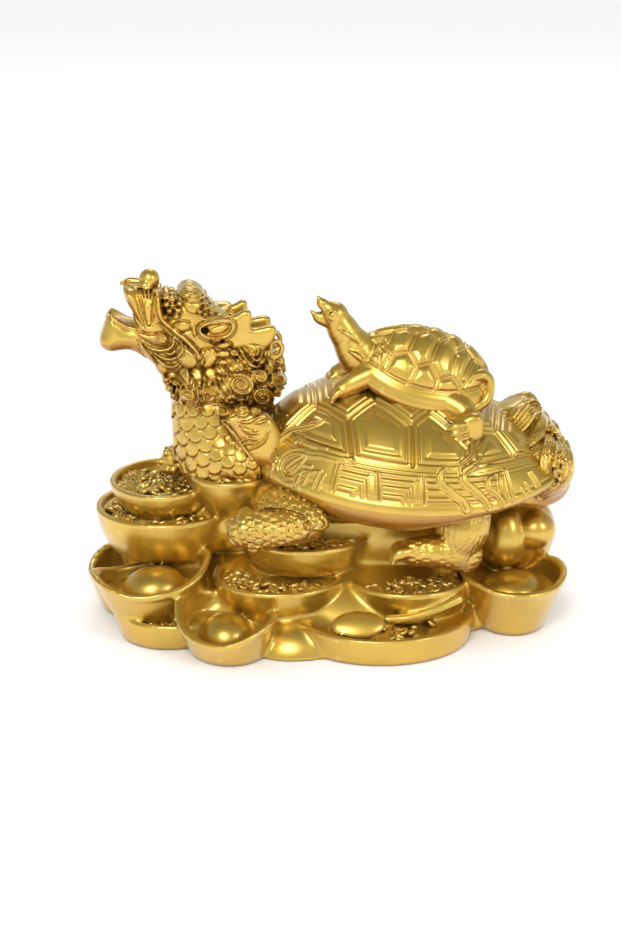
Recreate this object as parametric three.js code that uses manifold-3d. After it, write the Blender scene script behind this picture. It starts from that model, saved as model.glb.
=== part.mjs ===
// A dragon turtle, cast in one piece and painted gold: a dragon with a turtle's shell stands on a pile of
// boat-shaped ingots and dishes of coins, and a small turtle rides on its back.
// Millimetres, +Z up, the head towards -X, the origin on the ground under the middle of the figure.
import * as THREE from 'three';
import { ParametricGeometry } from 'three/addons/geometries/ParametricGeometry.js';
import { mergeVertices } from 'three/addons/utils/BufferGeometryUtils.js';
import Module from 'manifold-3d';

// Driving sizes of the whole figure. Its points are drawn for DRAWN_LENGTH.
const FIGURE_LENGTH = 80;
const DRAWN_LENGTH = 80;
const MOST_TRIANGLES = 9900;

// Driving sizes of the shell
const SHELL_LENGTH = 53;
const SHELL_WIDTH = 41;
const SHELL_MIDDLE_X = 13.5;
const RIM_HEIGHT = 23.2;
const RIM_FRONT_LIFT = 3.8;
const RIM_REAR_LIFT = 4.2;
const RIDGE_HEIGHT = 39.85;
const RIDGE_SUMMIT_X = 8;
const RIDGE_FALL = 0.0155;
const SHELL_LIP = 0.9;
const SHELL_KEEL_DEPTH = 4;
const PLATE_RELIEF = 0.5;
const PLATE_GAP = 0.6;

// Driving sizes of the dishes, the ingots and the coins
const DISH_WALL = 0.9;
const DISH_RECESS = 1;
const COIN_RADIUS = 1.6;
const COIN_THICKNESS = 0.7;

// Driving sizes of the small turtle on the shell
const HATCHLING_LENGTH = 24.6;
const HATCHLING_WIDTH = 15.4;
const HATCHLING_RISE = 7.2;
const HATCHLING_SAG = 2.6;
const HATCHLING_PITCH = 15;
const HATCHLING_AT = [14.7, -2, 40.8];

const wasm = await Module();
wasm.setup();

const drawn = FIGURE_LENGTH / DRAWN_LENGTH;
const fullTurn = 2 * Math.PI;
const toRadians = Math.PI / 180;
const vector = (x, y, z) => new THREE.Vector3(x, y, z);
const place = ([x, y, z]) => vector(x, y, z).multiplyScalar(drawn);
const bothSides = (make) => [-1, 1].flatMap(make);

// A closed mesh as a solid, with its shared vertices merged and its faces turned outwards
function solidOf(geometry) {
  const bare = geometry.index ? geometry.toNonIndexed() : geometry.clone();
  bare.deleteAttribute('normal');
  bare.deleteAttribute('uv');
  const merged = mergeVertices(bare, 1e-4);
  const corners = merged.index.array;
  const positions = merged.attributes.position.array;
  const kept = [];
  for (let i = 0; i < corners.length; i += 3) {
    const [a, b, c] = corners.slice(i, i + 3);
    if (a !== b && b !== c && a !== c) kept.push(a, b, c);
  }
  const point = (i) => new THREE.Vector3().fromArray(positions, 3 * i);
  let volume = 0;
  for (let i = 0; i < kept.length; i += 3) {
    volume += point(kept[i]).dot(point(kept[i + 1]).cross(point(kept[i + 2])));
  }
  if (volume < 0) {
    for (let i = 0; i < kept.length; i += 3) [kept[i], kept[i + 1]] = [kept[i + 1], kept[i]];
  }
  return new wasm.Manifold(
    new wasm.Mesh({ numProp: 3, vertProperties: positions, triVerts: new Uint32Array(kept) }),
  );
}

// A closed surface through rings of points, the first and the last of which are single points
function ringed(rings, around, pointAt) {
  return new ParametricGeometry(
    (u, v, target) => target.copy(pointAt(Math.round(v * (rings - 1)), u * fullTurn)),
    around,
    rings - 1,
  );
}

// The value at t, from 0 to 1, of numbers spread evenly over that range, smoothly joined
function blended(values, t) {
  const along = t * (values.length - 1);
  const i = Math.min(Math.floor(along), values.length - 2);
  const s = along - i;
  return THREE.MathUtils.lerp(values[i], values[i + 1], s * s * (3 - 2 * s));
}

// A limb, lock or horn: round sections along a smooth line through points, with rounded ends.
// wide is a section's breadth in the across direction as a share of its breadth at right angles to it.
function limb(points, radii, { sides = 7, rings = 7, wide = 1, across = [0, 1, 0] } = {}) {
  const line = new THREE.CatmullRomCurve3(points.map(place), false, 'centripetal');
  const side = vector(...across).normalize();
  const pointAt = (ring, angle) => {
    const t = 0.5 - 0.5 * Math.cos((Math.PI * ring) / (rings - 1));
    const round = Math.sqrt(Math.max(0, 1 - Math.abs(2 * t - 1) ** 5));
    const radius = blended(radii, t) * drawn * round;
    const tangent = line.getTangent(t);
    const normal = tangent.clone().cross(side).normalize();
    const binormal = normal.clone().cross(tangent).normalize();
    return line
      .getPoint(t)
      .addScaledVector(normal, radius * Math.cos(angle))
      .addScaledVector(binormal, radius * wide * Math.sin(angle));
  };
  return solidOf(ringed(rings, sides, pointAt));
}

// An ellipsoid, turned by degrees about X, Y and Z
function blob(centre, radii, { turn = [0, 0, 0], around = 9, rings = 6 } = {}) {
  const geometry = new THREE.SphereGeometry(drawn, around, rings);
  geometry.rotateX(Math.PI / 2);
  geometry.scale(...radii);
  const euler = new THREE.Euler(...turn.map((degrees) => degrees * toRadians));
  geometry.applyMatrix4(new THREE.Matrix4().makeRotationFromEuler(euler));
  geometry.translate(...place(centre).toArray());
  return solidOf(geometry);
}

// A body with the given side view, thickest in its middle and thin at its edge, standing across Y
function cushion(outline, half, { y = 0, middle = null, edge = 0.35 } = {}) {
  const sum = outline.reduce(([a, b], [c, d]) => [a + c, b + d], [0, 0]);
  const [middleX, middleZ] = middle ?? sum.map((value) => value / outline.length);
  const rings = [
    [0, -1],
    [0.72, -0.85],
    [1, -edge],
    [1, edge],
    [0.72, 0.85],
    [0, 1],
  ];
  const pointAt = (ring, angle) => {
    const [share, out] = rings[ring];
    const [x, z] = outline[Math.round((angle / fullTurn) * outline.length) % outline.length];
    return place([middleX + (x - middleX) * share, y + half * out, middleZ + (z - middleZ) * share]);
  };
  return solidOf(ringed(rings.length, outline.length, pointAt));
}

// A coin, leaning by degrees about X and Y
function coin(x, y, z, leanX, leanY) {
  const geometry = new THREE.CylinderGeometry(COIN_RADIUS, COIN_RADIUS, COIN_THICKNESS, 6);
  geometry.rotateX(Math.PI / 2 + leanX * toRadians);
  geometry.rotateY(leanY * toRadians);
  geometry.scale(drawn, drawn, drawn);
  geometry.translate(...place([x, y, z]).toArray());
  return solidOf(geometry);
}

// A dish of coins: an oval bowl with a wall, filled nearly to its rim
function dish({ x, y, rx, ry, foot, rim, footShare = 0.72, sides = 14, coins = [] }) {
  const wallShare = DISH_WALL / Math.min(rx, ry);
  const height = rim - foot;
  const profile = [
    [0, foot],
    [footShare, foot],
    [0.45 + 0.55 * footShare, foot + 0.35 * height],
    [1, rim],
    [1 - wallShare, rim],
    [0.9 - wallShare, rim - DISH_RECESS],
    [0, rim - DISH_RECESS / 2],
  ].map(([share, level]) => new THREE.Vector2(share, level * drawn));
  const geometry = new THREE.LatheGeometry(profile, sides);
  geometry.rotateX(Math.PI / 2);
  geometry.scale(rx * drawn, ry * drawn, 1);
  geometry.translate(x * drawn, y * drawn, 0);
  const heap = coins.map(([coinX, coinY, leanX, leanY]) =>
    coin(coinX, coinY, rim - DISH_RECESS / 2, leanX, leanY),
  );
  return [solidOf(geometry), ...heap];
}

// A boat-shaped ingot: an oval hull whose rim rises towards both ends, with a dome in its hollow.
// It is drawn level about its foot, then rolled about X, pitched about Y, turned about Z and placed.
function ingot({ at, long, wide, high, lift = 3, yaw = 0, pitch = 0, roll = 0, sides = 12 }) {
  const rings = [
    [0, 0, 0],
    [0.68, 0, 0],
    [0.92, 0.5, 0.35],
    [1, 1, 1],
    [0.88, 1.02, 1],
    [0.76, 0.8, 0.45],
    [0.48, 1.04, 0.1],
    [0, 1.22, 0],
  ];
  const lean = new THREE.Matrix4().makeRotationFromEuler(
    new THREE.Euler(roll * toRadians, pitch * toRadians, yaw * toRadians, 'ZYX'),
  );
  const centre = place(at);
  const pointAt = (ring, angle) => {
    const [reach, height, rise] = rings[ring];
    const tip = Math.abs(Math.cos(angle)) ** 3;
    return vector(
      long * reach * Math.cos(angle),
      wide * reach * Math.sin(angle),
      high * height + lift * rise * tip,
    )
      .multiplyScalar(drawn)
      .applyMatrix4(lean)
      .add(centre);
  };
  return solidOf(ringed(rings.length, sides, pointAt));
}

// The pile: the heap inside it, its dishes and its ingots
function pile() {
  const heap = [
    blob([0, 1, 0], [33, 19, 12], { around: 12, rings: 6 }),
    blob([9, 1, 14], [19, 9.5, 11], { around: 10, rings: 5 }),
    blob([-15, -1, 16], [9.5, 9.5, 5.6], { around: 10, rings: 5 }),
    blob([-7, -16.6, -1], [10, 7, 5.5], { around: 8, rings: 5 }),
  ];
  const dishes = [
    { x: -26.8, y: 3.6, rx: 8.8, ry: 9.6, foot: 16.6, rim: 22, footShare: 0.66 },
    { x: -26.8, y: 3.2, rx: 11, ry: 10.8, foot: 10.6, rim: 17.4, footShare: 0.78 },
    { x: -26, y: -8.3, rx: 9, ry: 8.2, foot: -1, rim: 4.2, footShare: 0.86 },
    { x: -4.2, y: -4.4, rx: 10.4, ry: 9.4, foot: 10, rim: 15.1, footShare: 0.8 },
    { x: -8.7, y: -8.8, rx: 10.6, ry: 8.9, foot: 3, rim: 9.6, footShare: 0.66 },
    { x: 7.5, y: -13.2, rx: 14.4, ry: 11.8, foot: -1, rim: 4.3, footShare: 0.93, sides: 18 },
    { x: 12.2, y: -8.2, rx: 10.6, ry: 9.6, foot: 3.8, rim: 8.7, footShare: 0.82 },
    { x: 17, y: 9, rx: 11, ry: 10, foot: 5, rim: 11, footShare: 0.75, sides: 12 },
    { x: 4, y: 13.2, rx: 13, ry: 11.8, foot: -1, rim: 5, footShare: 0.9 },
    { x: -11, y: 10, rx: 10.5, ry: 10, foot: 4, rim: 12, footShare: 0.75, sides: 12 },
  ].flatMap(dish);
  const ingots = [
    { at: [-29, -8.4, 3.2], long: 10, wide: 7.2, high: 6.2, lift: 2.6, yaw: 6, sides: 14 },
    { at: [-32.3, 2.6, -1], long: 8.6, wide: 7.2, high: 7.4, lift: 1.8, yaw: -66 },
    { at: [-17.6, -16.4, -1], long: 8.6, wide: 7, high: 6.6, lift: 3.4, yaw: -32, roll: 9, sides: 14 },
    { at: [29, -10.2, -1], long: 9.2, wide: 8.8, high: 9.6, lift: 1.4, yaw: 8, sides: 14 },
    { at: [31, 7.6, -1], long: 8.6, wide: 7.4, high: 9, lift: 2, yaw: -50 },
    { at: [20, 17.4, -1], long: 8.8, wide: 6.8, high: 7, lift: 3, yaw: 152, roll: 8 },
    { at: [-15, 17.2, -1], long: 8.6, wide: 7, high: 7, lift: 3, yaw: 24, roll: 8 },
    { at: [-27, 12.4, -1], long: 8.6, wide: 7, high: 8, lift: 2.6, yaw: -30 },
  ].map(ingot);
  const leaningIngot = [
    blob([30.6, -2.6, 13.4], [7, 4.8, 6.6], { around: 10, rings: 6 }),
    blob([28.4, -6, 12.8], [3.4, 3.8, 4.8], { around: 8, rings: 6 }),
    blob([33.2, -5.8, 14], [3.2, 3.4, 3], { around: 8, rings: 5 }),
  ];
  return [...heap, ...dishes, ...ingots, ...leaningIngot];
}

// The shell's outline, rim, ridge and top, as heights above the ground
const shellHalfLength = SHELL_LENGTH / 2;
const shellHalfWidth = SHELL_WIDTH / 2;

function rimHeight(x) {
  const lowestX = SHELL_MIDDLE_X + 0.12 * SHELL_LENGTH;
  const ahead = (lowestX - x) / (0.62 * SHELL_LENGTH);
  const behind = (x - lowestX) / (0.38 * SHELL_LENGTH);
  return RIM_HEIGHT + (x < lowestX ? RIM_FRONT_LIFT * ahead ** 2 : RIM_REAR_LIFT * behind ** 2);
}

function shellTop(x, y) {
  const u = THREE.MathUtils.clamp((x - SHELL_MIDDLE_X) / shellHalfLength, -1, 1);
  const reach = shellHalfWidth * Math.sqrt(Math.max(1e-4, 1 - u * u));
  const v = Math.min(Math.abs(y) / reach, 1);
  const ridge = RIDGE_HEIGHT - RIDGE_FALL * (x - RIDGE_SUMMIT_X) ** 2;
  const fullness = Math.sqrt(Math.max(0, 1 - Math.abs(u) ** 6)) * (1 - v * v) ** 0.62;
  return rimHeight(x) + (ridge - rimHeight(x)) * fullness;
}

// A point on the shell's top, from -1 to 1 along it and across it there, raised by relief
function shellPoint(along, across, relief = 0) {
  const x = SHELL_MIDDLE_X + shellHalfLength * Math.sin((along * Math.PI) / 2);
  const y = shellHalfWidth * Math.cos((along * Math.PI) / 2) * Math.sin((across * Math.PI) / 2);
  return vector(x, y, shellTop(x, y) + relief);
}

// A raised plate of the shell between corners given along and across it, drawn in by half a gap
function plate(corners, flat = false) {
  const middle = corners.reduce(([a, b], [c, d]) => [a + c / corners.length, b + d / corners.length], [0, 0]);
  const inset = (share) =>
    corners.map((corner) => corner.map((value, i) => middle[i] + (value - middle[i]) * share));
  const gapShare = PLATE_GAP / SHELL_WIDTH;
  const levels = [
    [1 - 5 * gapShare, -1.3],
    [1 - 8 * gapShare, PLATE_RELIEF * 0.8],
    ...(flat ? [] : [[0.62, PLATE_RELIEF * 1.1]]),
  ].map(([share, relief]) => inset(share).map(([a, b]) => shellPoint(a, b, relief)));
  const rings = [[shellPoint(...middle, -1.8)], ...levels, [shellPoint(...middle, PLATE_RELIEF * 1.2)]];
  const pointAt = (ring, angle) => {
    const points = rings[ring];
    return points[Math.round((angle / fullTurn) * points.length) % points.length];
  };
  return solidOf(ringed(rings.length, corners.length, pointAt));
}

// A lock of hair that lies on the shell, through points given along and across it
function shellLock(points, radii) {
  return bothSides((side) => {
    const lifted = points.map(([along, across]) =>
      shellPoint(along, across * side, 0.1).divideScalar(drawn).toArray(),
    );
    return limb(lifted, radii, { sides: 4, rings: 5 });
  });
}

// The shell: a dome over a keel, with rows of plates along its ridge, down its sides and round its rim
function shell() {
  const reach = [0, 0.3, 0.58, 0.8, 0.93, 1, 0.995, 0.82, 0];
  const drop = [0, 0, 0, 0, 0, 0, SHELL_LIP, SHELL_KEEL_DEPTH, SHELL_KEEL_DEPTH + 0.6];
  const rimRing = 5;
  const pointAt = (ring, angle) => {
    const x = SHELL_MIDDLE_X + shellHalfLength * reach[ring] * Math.cos(angle);
    const y = shellHalfWidth * reach[ring] * Math.sin(angle);
    const outerX = SHELL_MIDDLE_X + shellHalfLength * Math.cos(angle);
    return vector(x, y, ring <= rimRing ? shellTop(x, y) : rimHeight(outerX) - drop[ring]);
  };
  const dome = solidOf(ringed(reach.length, 30, pointAt));
  const valleys = [-0.56, -0.3, -0.055, 0.175, 0.4];
  const peaks = [-0.7, -0.43, -0.18, 0.055, 0.285, 0.5];
  const valley = 0.43;
  const peak = 0.27;
  const girdle = 0.65;
  const ridgePlates = valleys.map((x, i) =>
    plate([
      [peaks[i], -peak],
      [x, -valley],
      [peaks[i + 1], -peak],
      [peaks[i + 1], peak],
      [x, valley],
      [peaks[i], peak],
    ]),
  );
  const sidePlates = bothSides((side) =>
    valleys.slice(1).map((x, i) =>
      plate([
        [valleys[i], valley * side],
        [valleys[i], girdle * side],
        [x, girdle * side],
        [x, valley * side],
        [peaks[i + 1], peak * side],
      ]),
    ),
  );
  const rimPlates = bothSides((side) =>
    [-0.5, -0.34, -0.18, -0.02].map((start) =>
      plate(
        [
          [start, (girdle + 0.04) * side],
          [start, 0.91 * side],
          [start + 0.16, 0.91 * side],
          [start + 0.16, (girdle + 0.04) * side],
        ],
        true,
      ),
    ),
  );
  const frontLocks = [
    shellLock([[-0.37, 0.36], [-0.46, 0.42], [-0.56, 0.43], [-0.64, 0.5], [-0.64, 0.62]], [0.4, 0.8, 0.8, 0.7, 0.6]),
    shellLock([[-0.44, 0.59], [-0.53, 0.59], [-0.6, 0.66], [-0.64, 0.8], [-0.6, 0.93]], [0.4, 0.8, 0.8, 0.7, 0.6]),
  ];
  const rearLocks = [
    shellLock([[0.06, 0.58], [0.03, 0.65], [0.06, 0.74], [0.12, 0.84]], [0.4, 0.8, 0.9, 0.8]),
    shellLock([[0.2, 0.5], [0.13, 0.6], [0.12, 0.68], [0.2, 0.8]], [0.4, 0.9, 0.9, 0.8]),
    shellLock([[0.28, 0.54], [0.24, 0.64], [0.27, 0.74], [0.33, 0.82]], [0.4, 0.8, 0.9, 0.7]),
  ];
  return [dome, ...ridgePlates, ...sidePlates, ...rimPlates, ...frontLocks.flat(), ...rearLocks.flat()];
}

// The neck in rows of scales, and the four legs with their toes
function body() {
  const rows = 6;
  const sides = 12;
  const neckLine = new THREE.CatmullRomCurve3(
    [[-14.6, 0, 17.4], [-17.2, 0, 25], [-18.8, 0, 33], [-20.2, 0, 41]].map(place),
  );
  const neckRings = 2 * rows + 2;
  const neckPoint = (ring, angle) => {
    const t = ring / (neckRings - 1);
    const closed = ring === 0 || ring === neckRings - 1 ? 0 : 1;
    const stagger = Math.round((angle / fullTurn) * sides) + (ring >> 1);
    const scale = ring % 2 ? 0 : 0.25 + 0.35 * (stagger % 2);
    const radius = (6.7 - 0.3 * t + scale) * drawn * closed;
    const tangent = neckLine.getTangent(t);
    const front = vector(-tangent.z, 0, tangent.x).normalize();
    return neckLine
      .getPoint(t)
      .addScaledVector(front, radius * Math.cos(angle))
      .add(vector(0, radius * Math.sin(angle), 0));
  };
  const neck = solidOf(ringed(neckRings, sides, neckPoint));
  const upperArms = bothSides((side) => [
    limb([[-12, 8 * side, 26], [-8.6, 13.6 * side, 25.2], [-4.6, 15.4 * side, 22.4]], [3.6, 4, 3], { across: [1, 0, 0], rings: 6 }),
  ]);
  const nearPaw = [
    limb([[-4.6, -15.4, 20.2], [-9.5, -15.9, 19.9], [-14.6, -15.4, 19.4]], [2.4, 3, 2.3], { rings: 6 }),
    ...[-1, 0, 1].map((toe) =>
      limb(
        [[-13.4, -15.4 + 1.3 * toe, 20], [-16.2, -16 + 1.8 * toe, 19.6], [-17, -16.3 + 2 * toe, 17.4]],
        [0.9, 1.1, 0.5],
        { sides: 4, rings: 4 },
      ),
    ),
  ];
  const farPaw = [
    limb([[-6, 14.6, 21.6], [-15, 12.6, 22], [-22.5, 6.6, 22.8]], [2.6, 2.8, 2.4], { across: [0, 0, 1], rings: 6 }),
    ...[-1, 0, 1].map((toe) =>
      limb(
        [[-22, 5 + 1.4 * toe, 24], [-24.8, 4 + 1.6 * toe, 24], [-26, 3.4 + 1.7 * toe, 21.8]],
        [0.9, 1.15, 0.5],
        { sides: 4, rings: 4 },
      ),
    ),
  ];
  const hindLegs = bothSides((side) => [
    limb(
      [[21.5, 9 * side, 22.6], [21.6, 12.6 * side, 17.6], [19.6, 13.4 * side, 12.6]],
      [5.2, 4.6, 4],
      { sides: 8, rings: 6, wide: 0.7 },
    ),
    limb([[21, 13 * side, 12.6], [15.8, 14.2 * side, 13.8], [11, 14.4 * side, 14.4]], [2.9, 2.6, 2.2], { rings: 6 }),
    ...[-1, 0, 1].map((toe) =>
      limb(
        [[12, (14.4 + toe) * side, 14.8], [9.4, (14.8 + 1.3 * toe) * side, 14.6], [8.6, (15 + 1.4 * toe) * side, 12.4]],
        [0.8, 0.95, 0.4],
        { sides: 4, rings: 4 },
      ),
    ),
  ]);
  return [neck, ...upperArms, ...nearPaw, ...farPaw, ...hindLegs];
}

// The head, thrown back with its mouth wide open
function head() {
  const skull = cushion(
    [[-26.4, 49.2], [-25, 51.4], [-24.2, 53.6], [-22.8, 55.2], [-20.8, 55.2], [-18.9, 53.2], [-16, 50.6], [-13.4, 46.6], [-14, 42], [-18, 39], [-23.4, 39.6], [-26.6, 43.4]],
    4.5,
    { edge: 0.45, middle: [-20, 47] },
  );
  const lowerJaw = cushion(
    [[-36.3, 46.8], [-35.7, 49.4], [-34.6, 51.4], [-32.9, 51.2], [-31.3, 50.2], [-29, 50.8], [-25.4, 48], [-24.4, 42.6], [-26.7, 40.2], [-28.6, 42.9], [-31.6, 45], [-34.8, 44.9]],
    3.7,
    { edge: 0.5, middle: [-30.6, 47.4] },
  );
  const mouth = limb([[-27.5, 0, 50.8], [-31.6, 0, 51.4], [-36.4, 0, 52.6]], [1.7, 1.6, 1.8], { sides: 6, rings: 5, wide: 1.2 });
  const upperJaw = cushion(
    [[-32.7, 54.4], [-31.6, 55.8], [-29.9, 55.6], [-26.5, 55], [-26.2, 53], [-25.6, 51], [-24.1, 48.9], [-22, 46.6], [-20.6, 43.6], [-21.2, 41.4], [-22.9, 40.4], [-25.4, 42.2], [-28, 45], [-30.2, 48.4], [-31, 51.4]],
    4.3,
    { edge: 0.5, middle: [-27, 49.4] },
  );
  const nose = blob([-28.1, 0, 56.4], [1.7, 2, 1.7], { around: 8, rings: 6 });
  const antler = [[-18.4, 49.2], [-15.4, 50.6], [-13.4, 51.6], [-12.3, 50.6], [-12.6, 48.9], [-10.9, 49.3], [-9.2, 49.5], [-8.7, 47.6], [-10.6, 44.9], [-13.2, 44.2], [-16.3, 45], [-18.4, 46.8]];
  const ear = [[-21.1, 49.4], [-19.9, 51], [-17.6, 51.7], [-15.2, 51], [-16.2, 48.6], [-19, 47.5]];
  const paired = bothSides((side) => [
    limb([[-32, 2.4 * side, 55], [-30.4, 3.2 * side, 52.2], [-28.4, 3.9 * side, 49.4]], [1, 0.9, 0.6], { sides: 4, rings: 4 }),
    limb(
      [[-27, 3.2 * side, 54.4], [-26.4, 3.7 * side, 52], [-24.2, 4.2 * side, 49], [-21.7, 4.5 * side, 46], [-20.7, 4.4 * side, 42.8]],
      [0.8, 0.8, 0.8, 0.8, 0.6],
      { sides: 4, rings: 7 },
    ),
    blob([-26.6, 4 * side, 47.4], [2.4, 1.1, 1.6], { turn: [0, 38, 0], around: 6, rings: 4 }),
    blob([-25.2, 1.6 * side, 52.6], [1.3, 1.4, 1.4], { around: 6, rings: 4 }),
    blob([-21.8, 2.6 * side, 53.4], [2.5, 2, 2], { turn: [0, 18, 0], around: 7, rings: 5 }),
    blob([-20, 4.5 * side, 44.7], [1.8, 1.2, 2.2], { turn: [0, 20, 0], around: 6, rings: 4 }),
    cushion(ear, 1, { y: 4.7 * side }).subtract(
      blob([-18.9, 5.9 * side, 49.5], [1.7, 0.8, 1], { turn: [0, -12, 0], around: 5, rings: 4 }),
    ),
    cushion(antler, 1.1, { y: 3.6 * side, middle: [-13.8, 47.2] }),
    ...[0, 1, 2].map((i) =>
      limb([[-22.6 + 2.2 * i, 3.2 * side, 42.6 + 0.2 * i], [-22.4 + 2.4 * i, 5.4 * side, 39.6 + 0.6 * i]], [1.6, 0.4], {
        sides: 4,
        rings: 4,
      }),
    ),
  ]);
  const beard = bothSides((side) => [
    limb([[-26, 1.4 * side, 42.4], [-26.8, 2 * side, 39.8], [-25.2, 2.4 * side, 36.6]], [1.4, 1.3, 0.5], { sides: 5, rings: 5 }),
  ]);
  return [skull, lowerJaw.subtract(mouth), upperJaw, nose, ...paired, ...beard];
}

// A curl of hair: a round button with a ring round its middle, its axis along the direction given
function curl([x, y, z], radius, axis) {
  const profile = [
    [0, -1.4],
    [1, -1.1],
    [1, 0.3],
    [0.6, 0.8],
    [0, 0.5],
  ].map(([share, height]) => new THREE.Vector2(share * radius * drawn, height * drawn));
  const geometry = new THREE.LatheGeometry(profile, 6);
  const turn = new THREE.Quaternion().setFromUnitVectors(vector(0, 1, 0), vector(...axis).normalize());
  geometry.applyQuaternion(turn);
  geometry.translate(...place([x, y, z]).toArray());
  return solidOf(geometry);
}

// The mane: a mass of hair behind the head, with curls over it and locks that hang between them
function mane() {
  const centre = [-15.8, 0, 40.2];
  const radii = [7.2, 6.6, 7.4];
  const mass = blob(centre, radii, { around: 10, rings: 6 });
  const sideCurls = [
    [-22, 37.6, 1.4],
    [-18.9, 34.8, 1.2],
    [-15.2, 39.4, 2.3],
    [-15.4, 34.6, 1.5],
    [-12.2, 36, 1.6],
    [-11, 39, 1.8],
    [-11.4, 42.6, 1.7],
  ];
  const curls = bothSides((side) =>
    sideCurls.map(([x, z, radius]) => {
      const u = (x - centre[0]) / radii[0];
      const w = (z - centre[2]) / radii[2];
      const y = radii[1] * Math.sqrt(Math.max(0.2, 1 - u * u - w * w)) * side;
      return curl([x, y, z], radius, [u * 0.5, side, w * 0.5]);
    }),
  );
  const backCurls = [
    [-9.2, -2, 46, 1.5],
    [-9.2, 2, 46, 1.5],
    [-8.4, -3.4, 41.6, 1.7],
    [-8.4, 3.4, 41.6, 1.7],
    [-8, 0, 42, 1.6],
  ].map(([x, y, z, radius]) => curl([x, y, z], radius, [1, y * 0.2, 0.25]));
  const locks = bothSides((side) => [
    limb([[-20.4, 5.2 * side, 39.8], [-19.6, 6.4 * side, 37], [-17.6, 6.4 * side, 34.6]], [1.2, 1.1, 0.4], { sides: 4, rings: 4 }),
    limb(
      [[-13.4, 5 * side, 36.4], [-10.6, 6.2 * side, 34.6], [-8.2, 7 * side, 34.2], [-5.6, 7.6 * side, 35]],
      [1.6, 1.7, 1.3, 0.5],
      { sides: 5, rings: 6 },
    ),
    limb(
      [[-14.4, 6 * side, 33.6], [-11.8, 8 * side, 30.6], [-9.4, 9.6 * side, 29.2], [-6.6, 10.6 * side, 30.4]],
      [1.8, 1.8, 1.4, 0.6],
      { sides: 5, rings: 6 },
    ),
  ]);
  return [mass, ...curls, ...backCurls, ...locks];
}

// The tail: a mass of hair that wraps up round the back of the shell, with thick locks and small curls over it
function tail() {
  const mass = blob([29.8, 0, 26.4], [8.6, 9.6, 7.8], { around: 12, rings: 7 });
  const skirt = blob([31.5, 0, 23.6], [7.4, 11.4, 4.4], { around: 12, rings: 5 });
  const locks = bothSides((side) => [
    limb(
      [[25, 3 * side, 32.6], [28.6, 3.4 * side, 33.2], [33, 3.6 * side, 32.4], [36.2, 3 * side, 29.6]],
      [1, 1.5, 1.6, 1.3],
      { sides: 5, rings: 6 },
    ),
    limb(
      [[26.2, 9 * side, 30.4], [29.6, 8.4 * side, 31.8], [33.4, 6.6 * side, 31.2], [36.4, 4 * side, 28]],
      [0.4, 1.5, 1.6, 1.2],
      { sides: 5, rings: 6 },
    ),
    limb([[24.4, 12.4 * side, 29.6], [27.8, 10.8 * side, 29.4], [31.4, 9.2 * side, 29.4]], [0.4, 1.4, 1.3], { sides: 5, rings: 5 }),
    limb(
      [[37, 7 * side, 27.6], [38.2, 5.6 * side, 24.4], [36.6, 7 * side, 21.4], [33, 9.8 * side, 21]],
      [1, 1.6, 1.6, 1],
      { sides: 5, rings: 6 },
    ),
  ]);
  const knobs = [[35.4, 31.2], [37.2, 28.4], [38.2, 25.4]].map(([x, z]) =>
    blob([x, 0, z], [1.3, 2.6, 1.4], { around: 6, rings: 4 }),
  );
  return [mass, skirt, ...locks, ...knobs];
}

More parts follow.
